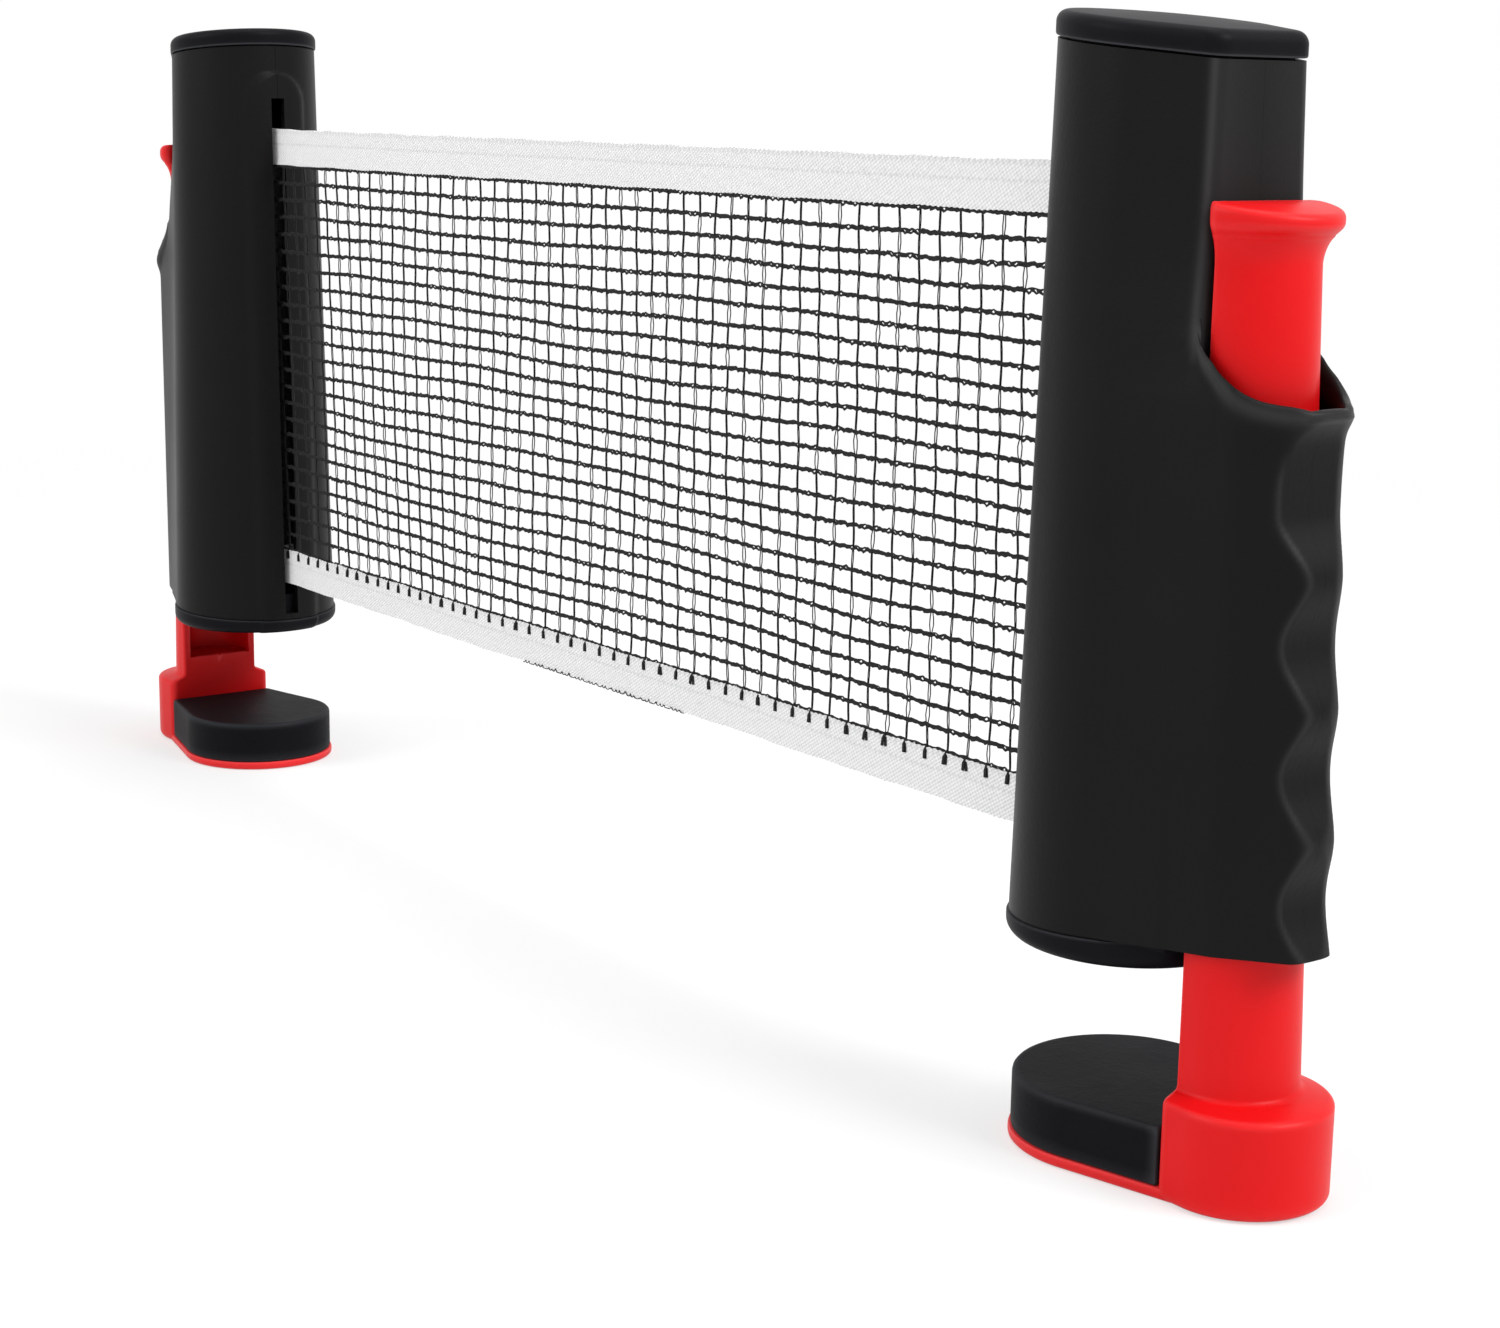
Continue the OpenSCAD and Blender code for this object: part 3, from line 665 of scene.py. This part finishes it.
for post in "ab":
    plan = circle(BASE_R)
    plan *= 1 + SURROUND_PROUD / BASE_R * (surround(plan[:, 1:], 0) * (plan[:, :1] > 0))
    recess = [(19.9, 1.5), (12, 1.5), (4.5, 1.5), (4.4, 1.4), (4.4, 0.2), (4.25, 0.03), (4.0, 0), (3.0, 0)]
    bend = np.linspace(0.15, math.pi / 2, 10)
    edge = [(BASE_ROUND * (1 - math.sin(a)), BASE_ROUND * (1 - math.cos(a))) for a in bend]
    wall = [(0, 3.8), (0, 4.5), (0, 4.85), (0.06, 5.03), (0.25, BASE_H), (4, BASE_H), (19.9, BASE_H)]
    disc = stacked(plan, recess + edge + wall)
    disc[..., 2] -= disc[..., 0] * FOOT_SLOPE * limit((disc[..., 2] - 3) / 1.5)
    collar = stacked(d_outline(2.35, 8.0)[:, :2], [(0, 5), (0, 11.4), (1.6, 11.4), (1.6, 5)])
    socket = stacked(circle(5.0), [(0, 5), (0, 13), (2.9, 13), (2.9, 5)])
    shells = [closed_rings(disc)]
    for ring in (collar, socket):
        quads = grid_quads(len(ring), ring.shape[1], loop_rows=True, loop_columns=True)
        shells.append((ring.reshape(-1, 3), quads))
    foot = mesh_piece(f"base_foot_{post}", shells, f"post_{post}", polished, post)
    head = stacked(circle(SCREW_R, 48), [(0, 1.0), (0, 3.0)])
    heads = [closed_rings(head + [-SCREW_PLACE, side * SCREW_PLACE, 0]) for side in (-1, 1)]
    hollowed(foot, mesh_piece("heads", heads, None, polished, post))
    paint_edge_highlights(foot, post, base_painted_highlight)
    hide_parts(f"base_cap_{post}")


# ---------------------------------------------------------------------------
# Clamp: one red nylon moulding slides in the grip. From the bottom up it is the
# jaw's plate, a heel with a soft shoulder, the column and the thumb button on
# its hollow fillet. Inside, the column is open towards the housing for the spring.

COLUMN_X, COLUMN_HALF, COLUMN_TIP, COLUMN_LEAN, COLUMN_FOOT = 26.9, 12.5, 43.2, 0.042, -22
BACK_LEAN = 1.3
HEEL_HALF, HEEL_TIP, BUTTON_HALF, BUTTON_TIP, BUTTON_SLOPE = 16.9, 50.6, 15.1, 40.6, 1.9
HOLLOW_HALF, HOLLOW_TIP, HOLLOW_FOOT, HOLLOW_TOP = 10.3, 41.0, -16.0, 104.4
JAW_R, JAW_TANGENT, JAW_BACK, PLATE_FOOT = 23.0, (34.0, 15.5), 33.0, -43.4

# The edge colour (230, 60, 62) is edge wear together with a painted highlight along convex edges.
clamp_red = moulded(
    "clamp red", (206, 9, 13), (215, 14, 18), (230, 60, 62), rough=0.42, bump=0.00002,
    size=2200, clouds=40, specular=0.15,
)


def slot_outline(half, tip, corner, back=COLUMN_X):
    """A U in plan as a closed loop: a straight back, small corners, flanks and a half-round end;
    every call gives the same count of points."""
    def arc(cx, cy, r, a0, a1, n):
        t = np.linspace(a0, a1, n, endpoint=False)
        return np.stack([cx + r * np.cos(t), cy + r * np.sin(t)], 1)

    def run(p, q, n):
        t = np.linspace(0, 1, n, endpoint=False)[:, None]
        return mix(np.array(p), np.array(q), t)

    back, end, quarter = -back, -(tip - half), math.pi / 2
    start = math.asin(max(0.0, end - back + corner) / half)
    wide, turn = half * math.cos(start), min(back - corner, end)
    return np.concatenate([
        run((back, -wide + corner), (back, wide - corner), 20),
        arc(back - corner, wide - corner, corner, 0, quarter, 7),
        run((back - corner, wide), (turn, wide), 10),
        arc(end, 0, half, quarter + start, 3 * quarter - start, 72),
        run((turn, -wide), (back - corner, -wide), 10),
        arc(back - corner, -wide + corner, corner, -quarter, 0, 7),
    ])


def column_outline(z):
    """The column in plan: its back keeps close to the tube's leaning back, with room for the slide."""
    tip = COLUMN_TIP - COLUMN_LEAN * (z - COLUMN_FOOT)
    return slot_outline(COLUMN_HALF, tip, 0.8, COLUMN_X - BACK_LEAN * limit((z - 20) / 90))


def clamp_rings():
    """The heel, column and button as one profile carried up the column: each row has a height, a
    share of the way out to the heel's or the button's outline, and how far the button's slope
    tilts it."""
    def arch(low, high, count):
        """Sines and cosines of even angles."""
        a = np.linspace(low, high, count)
        return list(zip(np.sin(a), np.cos(a)))

    foot = [(-41.4 - 2.0 * c, 0.66 + 0.34 * s, 0) for s, c in arch(0, 1.5, 10)]
    wall = [(z, 1.0, 0) for z in (-40, -37, -34, -31, -28, -26, -24.9)]
    shoulder = [(-24.5 + 1.5 * s, 0.7 + 0.3 * c, 0) for s, c in arch(0.05, 1.35, 9)]
    step = [(-22.8, 0.62, 0), (-22.6, 0.48, 0), (-22.4, 0.36, 0)]
    fillet = [(-20.9 - 1.3 * c, 0.26 * (1 - s), 0) for s, c in arch(0.1, 1.5, 7)]
    column = [(z, 0, 0) for z in np.linspace(-19, 134, 60)]
    flare = [(135.3 + 6.1 * s, 0.9 * (1 - c) ** 0.85, 0.1 * s) for s, c in arch(0.08, 1.1, 11)]
    underside = [(141.1, 0.58, 0.11), (141.5, 0.69, 0.12), (141.95, 0.80, 0.15), (142.4, 0.89, 0.2)]
    edge = [(142.9, 0.95, 0.3), (143.4, 0.985, 0.42), (143.9, 1.0, 0.55), (144.6, 1.0, 0.75)]
    crown = [(145.2 + 1.5 * s, 0.66 + 0.34 * c, 0.85 + 0.15 * s) for s, c in arch(0.12, 1.4, 8)]
    heel = slot_outline(HEEL_HALF, HEEL_TIP, 2.0)
    button = slot_outline(BUTTON_HALF, BUTTON_TIP, 2.2, COLUMN_X - BACK_LEAN)
    lower, upper = foot + wall + shoulder + step + fillet + column, flare + underside + edge + crown
    rings = []
    for rows, out in ((lower, heel), (upper, button)):
        for z, share, tilt in rows:
            plan = mix(column_outline(z), out, share)
            rise = -tilt * BUTTON_SLOPE * (-plan[:, :1] - COLUMN_X) / 14
            rings.append(np.concatenate([plan, z + rise], 1))
    last = rings[-1]
    for s in (0.9, 0.75, 0.55, 0.35, 0.15):
        middle = last.mean(0)
        ring = middle + (last - middle) * s
        ring[:, 2] += 0.5 * (1 - s)
        rings.append(ring)
    return np.stack(rings)


def column_hollow():
    """The room inside the column: a smaller U that leans as the column does, its back pushed out
    past the column's so that it opens towards the housing."""
    rings = []
    for z in (HOLLOW_FOOT, HOLLOW_TOP):
        plan = slot_outline(HOLLOW_HALF, HOLLOW_TIP - COLUMN_LEAN * (z - COLUMN_FOOT), 0.5)
        plan[:, 0] = np.where(plan[:, 0] > -COLUMN_X - 0.6, -20, plan[:, 0])
        rings.append(np.concatenate([plan, np.full((len(plan), 1), z)], 1))
    return np.stack(rings)


def jaw_outline(inset):
    """The jaw in plan: a nose round the reel's axis with tangents drawn in to the heel."""
    def distance(x, y, z):
        return nosed(x, y, JAW_R, JAW_TANGENT, JAW_BACK, 1.5) + inset

    t = np.linspace(0, 2 * math.pi, 180, endpoint=False)
    return rays(t, np.zeros(180), distance)


for post in "ab":
    underneath = [(0.9, PLATE_FOOT), (0.45, -43.25), (0.1, -42.9), (0, -42.4)]
    plate = stacked(jaw_outline(0), underneath + [(0, -41.6), (0.15, -41.1)])
    shells = [closed_rings(clamp_rings()), closed_rings(plate)]
    clamp = mesh_piece(f"clamp_{post}", shells, f"clamp_{post}", clamp_red, post, sharp=50)
    hollowed(clamp, mesh_piece("hollow", [closed_rings(column_hollow())], None, clamp_red, post))
    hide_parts(f"clamp_slider_{post}")


# ---------------------------------------------------------------------------
# Jaw block and foot disc: black rubber. The block lies on the jaw's plate with a
# small bevel round its top; the disc is let into the underside of the base cap.

BLOCK_INSET, BLOCK_TOP = 0.5, -29.0

# The edge colour (48, 49, 52) is edge wear together with a painted highlight along convex edges.
rubber = moulded(
    "black rubber", (9, 10, 13), (14, 14, 18), (48, 49, 52), rough=0.55, bump=0.00005,
    size=1500, clouds=90, specular=0.06,
)

for post in "ab":
    outline = jaw_outline(BLOCK_INSET)
    outline[:, 0] = np.maximum(outline[:, 0], -COLUMN_X)
    foot = [(0.5, -41.0), (0.1, -40.8), (0, -40.3), (0, -38), (0, -34), (0, -31), (0, -30.2)]
    bevel = [(0.12, -29.6), (0.5, -29.15)]
    top = [(inset, BLOCK_TOP) for inset in (1.0, 1.6, 2.6, 9)]
    block = stacked(outline, foot + bevel + top)
    block[..., 0] = np.maximum(block[..., 0], -COLUMN_X)
    pad = mesh_piece(f"jaw_block_{post}", [closed_rings(block)], f"clamp_{post}", rubber, post)
    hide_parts(f"jaw_pad_{post}")
    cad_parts[f"foot_pad_{post}"].data.materials[0] = rubber


# ---------------------------------------------------------------------------
# Inside each post: steel axle, screws and springs, a moulded spool on two
# natural nylon bushes, the strip that grips the net's end, and the spring's seat.

def drawn_steel():
    """Drawn wire and bar: fine streaks along the height vary the tint and roughness of a metal."""
    finish, tree, surface = new_finish("drawn steel")
    place = add(tree, "TexCoord", {}).outputs["Object"]
    stretch = add(tree, "Mapping", {"Vector": place, "Scale": (3000, 3000, 60)})
    streak = add(tree, "TexNoise", {"Vector": stretch.outputs[0], "Scale": 1.0}).outputs["Fac"]
    feed(tree, surface, {
        "Base Color": mixed(tree, streak, linear((176, 178, 182)), linear((198, 200, 203))),
        "Roughness": ramp(tree, streak, 0.0, 1.0, 0.22, 0.42),
        "Metallic": 1.0,
    })
    return finish


steel = drawn_steel()
# Their edge colours are edge wear together with a painted highlight along convex edges.
spool_plastic = moulded("spool plastic", (206, 190, 160), (218, 203, 174), (226, 214, 190), 0.5, 0.00003)
bush_nylon = moulded("natural nylon", (205, 200, 186), (220, 216, 203), (232, 229, 220), 0.42, 0.00002)
for post in "ab":
    for finish, nodes in (
        (steel, ("base_screws", "clamp_spring", "reel_axle", "reel_spring")),
        (polished, ("spring_seat",)),
        (spool_plastic, ("reel_spool",)),
        (bush_nylon, ("upper_bush", "lower_bush", "net_clip")),
    ):
        for node in nodes:
            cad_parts[f"{node}_{post}"].data.materials[0] = finish


# ---------------------------------------------------------------------------
# Tapes: woven cotton, folded over the net's upper and lower edges and stitched.
# They run from one roll to the other, stretched, with slight ripples.

NET_FOOT, NET_TOP, TAPE_H = 15.0, 152.5, 10.75
NET_START = 16.4


def twill(name, cloth_height):
    """White twill on the tape's own map (along and up, in metres): two crossed waves are the
    yarns, diagonal steps make the rib, dashes are the stitching and flecks the handling."""
    finish, tree, surface = new_finish(name)
    place = add(tree, "UVMap", {}).outputs[0]
    up = add(tree, "SeparateXYZ", {0: place}).outputs["Y"]

    def rib(turn, size):
        lay = add(tree, "Mapping", {"Vector": place, "Rotation": (0, 0, math.radians(turn))}).outputs[0]
        look = {"Scale": size, "Distortion": 1.2, "Detail": 1.0, "Detail Scale": 2.0}
        return add(tree, "TexWave", {"Vector": lay, **look}).outputs["Fac"]

    def band(share, width):
        away = maths(tree, "ABSOLUTE", maths(tree, "SUBTRACT", up, cloth_height * share))
        return ramp(tree, away, width, width * 0.3, smooth=True)

    warp, weft = rib(58, 420.0), rib(-32, 350.0)
    cloth = maths(tree, "MULTIPLY_ADD", weft, 0.6, warp)
    dash = add(tree, "TexWave", {"Vector": place, "Scale": 175.0, "Distortion": 0.6}).outputs["Fac"]
    seam = maths(tree, "MULTIPLY", band(0.60, 0.0005), dash)
    loops = maths(tree, "MULTIPLY", band(0.955, 0.0011), dash)
    stitch = maths(tree, "MAXIMUM", seam, loops)
    fleck = add(tree, "TexNoise", {"Vector": place, "Scale": 900.0, "Detail": 3.0}).outputs["Fac"]
    dirt = ramp(tree, fleck, 0.42, 0.72, 0.0, 0.45)
    tone = mixed(tree, dirt, linear((238, 238, 238)), linear((214, 214, 216)))
    shade = ramp(tree, cloth, 0.0, 1.6, 0.72, 1.05)
    grey = add(tree, "CombineColor", {"Red": shade, "Green": shade, "Blue": shade}).outputs[0]
    yarn = mixed(tree, 1.0, tone, grey, "MULTIPLY")
    height = maths(tree, "SUBTRACT", cloth, stitch)
    dent = add(tree, "Bump", {"Strength": 0.8, "Distance": 0.00008, "Height": height})
    feed(tree, surface, {
        "Base Color": mixed(tree, maths(tree, "MULTIPLY", stitch, 0.55), yarn, linear((196, 196, 198))),
        "Normal": dent.outputs[0],
        "Roughness": 0.9,
        "Specular IOR Level": 0.2,
        "Sheen Weight": 0.15,
    })
    return finish


def ripple(x, z):
    """How far the stretched net leaves its plane: two slow waves that die away at the posts."""
    hold = np.sin(math.pi * limit((x - NET_START) / (SPAN - 2 * NET_START))) ** 0.7
    return hold * (0.5 * np.sin(x / 31.0 + z / 70.0) + 0.3 * np.sin(x / 12.7 - z / 24.0 + 1.3))


def lay_map(piece, low):
    """The piece's own map: metres along the net, and metres up from its lower edge."""
    mesh = piece.data
    corner = np.zeros(len(mesh.loops), np.int32)
    mesh.loops.foreach_get("vertex_index", corner)
    place = np.zeros(len(mesh.vertices) * 3, np.float32)
    mesh.vertices.foreach_get("co", place)
    place = place.reshape(-1, 3)[corner]
    chart = mesh.uv_layers.new(name="UVMap")
    chart.data.foreach_set("uv", np.stack([place[:, 0], place[:, 2] - low / 1000], 1).ravel())


def tape(name, low, thread):
    """The folded strip as a closed loop in section, carried along the net: a flat band with round
    ends, pinched where it is sewn; small waves and the edge stitches' loops ruffle its edges."""
    x = np.linspace(NET_START, SPAN - NET_START, 1001)
    a = np.linspace(0, 2 * math.pi, 36, endpoint=False)
    up = limit(0.5 + 0.62 * np.sin(a))
    pinch = 1 - 0.35 * bell((up - 0.6) / 0.05)
    out = 0.5 * np.cos(a) / np.maximum(np.abs(np.cos(a)), 0.35) * pinch
    grid_x, grid_z = np.meshgrid(x, low + TAPE_H * (0.02 + 0.96 * up), indexing="ij")
    waves = 0.10 * np.sin(grid_x / 5.3 + low) + 0.06 * np.sin(grid_x / 2.1)
    loops = 0.24 * np.abs(np.sin(math.pi * grid_x / 1.75)) * (np.abs(up - 0.5) > 0.49)
    y = ripple(grid_x, grid_z) + out[None] + 0.05 * np.sin(grid_x / 3.1 + grid_z)
    z = grid_z + (waves + loops) * limit(np.abs(grid_z - low - TAPE_H / 2) / 5)
    piece = mesh_piece(name, [closed_rings(np.stack([grid_x, y, z], -1))], None, thread, sharp=80)
    lay_map(piece, low)
    return piece


white_twill = twill("white twill", TAPE_H / 1000)
for name, low, node in (
    ("top_tape_cloth", NET_TOP - TAPE_H, "top_tape"),
    ("bottom_tape_cloth", NET_FOOT, "bottom_tape"),
):
    strip = tape(name, low, white_twill)
    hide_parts(node)
    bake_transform(strip)


# ---------------------------------------------------------------------------
# Netting: black polyester knit. Each row is a chain of stitches with a bead
# every stitch, and each column is a pair of finer threads that part and meet;
# their ends are caught in the tapes.

LOW, HIGH = NET_FOOT + TAPE_H, NET_TOP - TAPE_H
ROWS, COLUMNS, STITCH_LONG = 24, 54, 2.1

# The edge colour (44, 44, 46) is edge wear together with a painted highlight along convex edges.
knit_black = moulded(
    "black polyester yarn", (16, 16, 17), (26, 26, 27), (44, 44, 46), rough=0.75, bump=0.00006,
    size=6000, clouds=300, specular=0.25,
)
yarn_seed = np.random.default_rng(7)


def dip(x, z):
    """How far the net's rows hang below level: a slow sag between the posts and small slack in
    the rows' own run, both held at the tapes."""
    free = limit((HIGH - z) / 12) * limit((z - LOW) / 12)
    return free * (0.45 * np.sin(x / 29.0 + z / 14.0) + 0.16 * np.sin(x / 8.3 - z / 5.0))


def lean(x, z):
    """How far the columns lean along the net, more at the far post's lower part and a little
    everywhere."""
    low = limit((HIGH - z) / (HIGH - LOW))
    by_post = 5.0 * low**1.6 * bell((x - NET_START) / 60)
    return by_post + 0.9 * np.sin(x / 23.0) * np.sin(math.pi * low) + 1.2 * low * np.sin(x / 51.0 + 1.0)


def thread(x, y, z, radius, sides=3):
    """A closed tube along a path, each ring of its own radius and square to the path's run."""
    path = np.stack([x, y, z], 1)
    run = np.gradient(path, axis=0)
    run /= np.linalg.norm(run, axis=1, keepdims=True)
    flat = np.cross(run, [0.0, 1.0, 0.0])
    flat /= np.linalg.norm(flat, axis=1, keepdims=True)
    out = np.cross(run, flat)
    a = np.linspace(0, 2 * math.pi, sides, endpoint=False)[None, :, None] + 0.4
    ring = path[:, None] + radius[:, None, None] * (flat[:, None] * np.cos(a) + out[:, None] * np.sin(a))
    return closed_rings(ring)


yarns = []
length = SPAN - 2 * NET_START
for row in range(ROWS):
    stitches = int(length / STITCH_LONG)
    step = np.arange(stitches * 3 + 1)
    x = np.linspace(NET_START, SPAN - NET_START, len(step))
    level_z = mix(LOW, HIGH, row / (ROWS - 1))
    phase = step * 2 * math.pi / 3
    loops = (yarn_seed.random(stitches + 1) < 0.22)[step // 3] * (step % 3 == 1)
    wander = 0.10 * np.sin(phase / 2 + row) + 0.07 * yarn_seed.standard_normal(len(x))
    for strand in (-1, 1):
        apart = 0.20 + 0.27 * loops + 0.06 * np.sin(phase + strand)
        z = level_z - dip(x, level_z) + wander + strand * apart
        y = ripple(x, z) + strand * 0.15 * np.cos(phase / 2 + row)
        uneven = 0.07 * np.cos(phase + 2 * strand) + 0.05 * yarn_seed.standard_normal(len(x))
        yarns.append(thread(x, y, z, np.clip(0.38 - 0.12 * loops + uneven, 0.18, 0.55)))
for column in range(COLUMNS):
    foot_x = mix(NET_START + 2, SPAN - NET_START - 2, column / (COLUMNS - 1))
    z = np.linspace(HIGH + 0.6, LOW - 2.6, 24 * 3 + 1)
    cell = (HIGH - z) / (HIGH - LOW) * (ROWS - 1)
    open_by = 0.07 + 0.50 * yarn_seed.random(ROWS + 1)[np.clip(cell.astype(int), 0, ROWS)] ** 4
    part = open_by * np.abs(np.sin(math.pi * cell))
    wander = 0.18 * np.sin(cell * 2.1 + column * 1.7)
    for strand in (-1, 1):
        x = foot_x + lean(foot_x, z) + wander + strand * part
        y = ripple(x, z) + strand * 0.12 - 0.62 * limit((LOW + 0.3 - z) / 0.8)
        yarns.append(thread(x, y, z - dip(x, z), np.where(z < LOW - 0.2, 0.42, 0.16)))

# A stretch of frayed thread hangs under the bottom tape near the net's middle.
x = np.linspace(162.0, 236.0, 240)
fray = 0.9 * limit(np.sin(x * 2.9 + 1.5 * np.sin(x))) ** 2 * (0.3 + 0.7 * yarn_seed.random(len(x)))
yarns.append(thread(x, ripple(x, NET_FOOT) - 0.62, NET_FOOT + 0.2 + fray, np.full(len(x), 0.15)))

net = mesh_piece("netting", yarns, None, knit_black, sharp=60)
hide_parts("net_mesh")
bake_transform(net)


# ---------------------------------------------------------------------------
# Net roll: the rest of the net, wound on the spool. Its two tapes show as white
# bands, the knit between them as black turns with ridges where rows lie over rows.

ROLL_R, SPOOL_R, ROUND_POINTS = 16.38, 8.24, 96
NET_H, ROW_PITCH = NET_TOP - NET_FOOT, 5.05


def wound_net():
    """Turns of tape and knit in the object's own space: height picks white or black, and small
    cells are the yarns."""
    finish, tree, surface = new_finish("wound net")
    place = add(tree, "TexCoord", {}).outputs["Object"]
    height = add(tree, "SeparateXYZ", {0: place}).outputs["Z"]
    away = maths(tree, "ABSOLUTE", maths(tree, "SUBTRACT", height, (NET_FOOT + NET_TOP) / 2000))
    band = maths(tree, "GREATER_THAN", away, NET_H / 2000 - TAPE_H / 1000)
    yarn = add(tree, "TexVoronoi", {"Scale": 600.0, "Vector": place}).outputs["Distance"]
    dark = mixed(tree, yarn, linear((14, 14, 15)), linear((48, 48, 50)))
    dent = add(tree, "Bump", {"Distance": 0.0003, "Height": yarn})
    feed(tree, surface, {
        "Base Color": mixed(tree, band, dark, linear((228, 228, 226))),
        "Normal": dent.outputs[0],
        "Roughness": 0.88,
    })
    return finish


def wound_rings():
    """Rings up the roll's outside, whose reach dips between the knit's rows, and rings wound in
    over its upper end and out again over its lower one."""
    turn = np.linspace(0, 2 * math.pi, ROUND_POINTS, endpoint=False)

    def ring(r, z):
        return np.stack([r * np.cos(turn), r * np.sin(turn), np.full(ROUND_POINTS, z)], 1)

    heights = even_steps([(0, 0), (TAPE_H, 14), (NET_H - TAPE_H, 92), (NET_H, 14)])
    knit = 0.35 + 0.25 * np.cos(2 * math.pi * (heights - TAPE_H) / ROW_PITCH)
    knit = np.where((heights < TAPE_H) | (heights > NET_H - TAPE_H), 0.0, knit)
    uneven = 0.5 * np.abs(0.12 * np.sin(7 * turn) + 0.08 * np.sin(19 * turn + 1))
    reach = ROLL_R - knit[:, None] * (0.6 + 0.4 * np.sin(24 * turn) ** 2) - uneven
    outside_rings = [ring(r, NET_FOOT + h) for r, h in zip(reach, heights)]
    inwards = list(enumerate(np.linspace(16.0, SPOOL_R, 26)))
    upper = [ring(r, NET_TOP - 0.25 * (k % 2)) for k, r in inwards]
    lower = [ring(r, NET_FOOT + 0.25 * (k % 2)) for k, r in inwards]
    return np.stack([*outside_rings, *upper, *lower[::-1]])


wound = wound_net()
for post in "ab":
    rings = wound_rings()
    quads = grid_quads(len(rings), ROUND_POINTS, loop_rows=True, loop_columns=True)
    roll = mesh_piece(f"wound_net_{post}", [(rings.reshape(-1, 3), quads)], f"reel_{post}", wound, post)
    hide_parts(f"net_roll_{post}")


# ---------------------------------------------------------------------------
# The set stands on its two jaws on a plain pale floor, in soft studio light.

FLOOR_HALF, FLOOR_PLACE, FLOOR_WHITE = 30, (0.2, 0, -0.0435), 0.55
ROOM_LIGHT = 0.42


def shows_backdrop(tree):
    """1 for rays from the camera, off gloss and through glass, 0 for the rays that light the object."""
    seen = add(tree, "LightPath", {}).outputs
    direct = maths(tree, "MAXIMUM", seen["Is Camera Ray"], seen["Is Glossy Ray"])
    return maths(tree, "MAXIMUM", direct, seen["Is Transmission Ray"])


def pale(name, colour, near_share):
    """A matt pale surface; straight to the camera part of it is plain white, more of it further
    out, so it keeps the shadows and has no far edge."""
    finish, tree, surface = new_finish(name)
    feed(tree, surface, {"Base Color": linear(colour), "Roughness": 0.95, "Specular IOR Level": 0.0})
    far_off = add(tree, "VectorMath", {0: add(tree, "TexCoord", {}).outputs["Object"]})
    far_off.operation = "LENGTH"
    share = ramp(tree, far_off.outputs["Value"], 0.35, 1.1, near_share, 1.0, smooth=True)
    part = maths(tree, "MULTIPLY", shows_backdrop(tree), share)
    white = add(tree, "Emission", {})
    blend = add(tree, "MixShader", {0: part, 1: surface.outputs[0], 2: white.outputs[0]})
    feed(tree, tree.nodes["Material Output"], {"Surface": blend.outputs[0]})
    return finish


half = FLOOR_HALF
corners = [(-half, -half, 0), (half, -half, 0), (half, half, 0), (-half, half, 0)]
floor_mesh = bpy.data.meshes.new("floor")
floor_mesh.from_pydata(corners, [], [(0, 1, 2, 3)])
floor_mesh.materials.append(pale("pale floor", (236, 236, 236), FLOOR_WHITE))
floor = bpy.data.objects.new("floor", floor_mesh)
floor.location = FLOOR_PLACE
bpy.context.scene.collection.objects.link(floor)

world = bpy.data.worlds.new("studio")
bpy.context.scene.world = world
world.use_nodes = True
room = world.node_tree.nodes["Background"]
feed(world.node_tree, room, {"Color": (1, 1, 1, 1), "Strength": ROOM_LIGHT})
beyond = add(world.node_tree, "Background", {"Color": (1, 1, 1, 1), "Strength": 1.0})
shown = shows_backdrop(world.node_tree)
choice = add(world.node_tree, "MixShader", {0: shown, 1: room.outputs[0], 2: beyond.outputs[0]})
feed(world.node_tree, world.node_tree.nodes["World Output"], {"Surface": choice.outputs[0]})


def lamp(name, place, aim, power, size):
    """A square soft lamp of a size in metres and a power in watts, at a place, turned to its aim."""
    light = bpy.data.lights.new(name, "AREA")
    light.energy, light.size = power, size
    light_object = bpy.data.objects.new(name, light)
    away = np.array(place) - np.array(aim)
    away /= np.linalg.norm(away)
    side = np.cross([0, 0, 1.0], away)
    side /= np.linalg.norm(side)
    light_object.matrix_world = stand((side, np.cross(away, side), away), place)
    bpy.context.scene.collection.objects.link(light_object)


lamp("key", (1.6, 0.5, 1.3), (0.38, 0.0, 0.06), 26, 0.8)
lamp("fill", (-0.3, -1.7, 1.2), (0.2, 0.0, 0.06), 20, 1.2)
lamp("top", (0.2, 0.1, 1.9), (0.2, 0.0, 0.0), 20, 1.4)
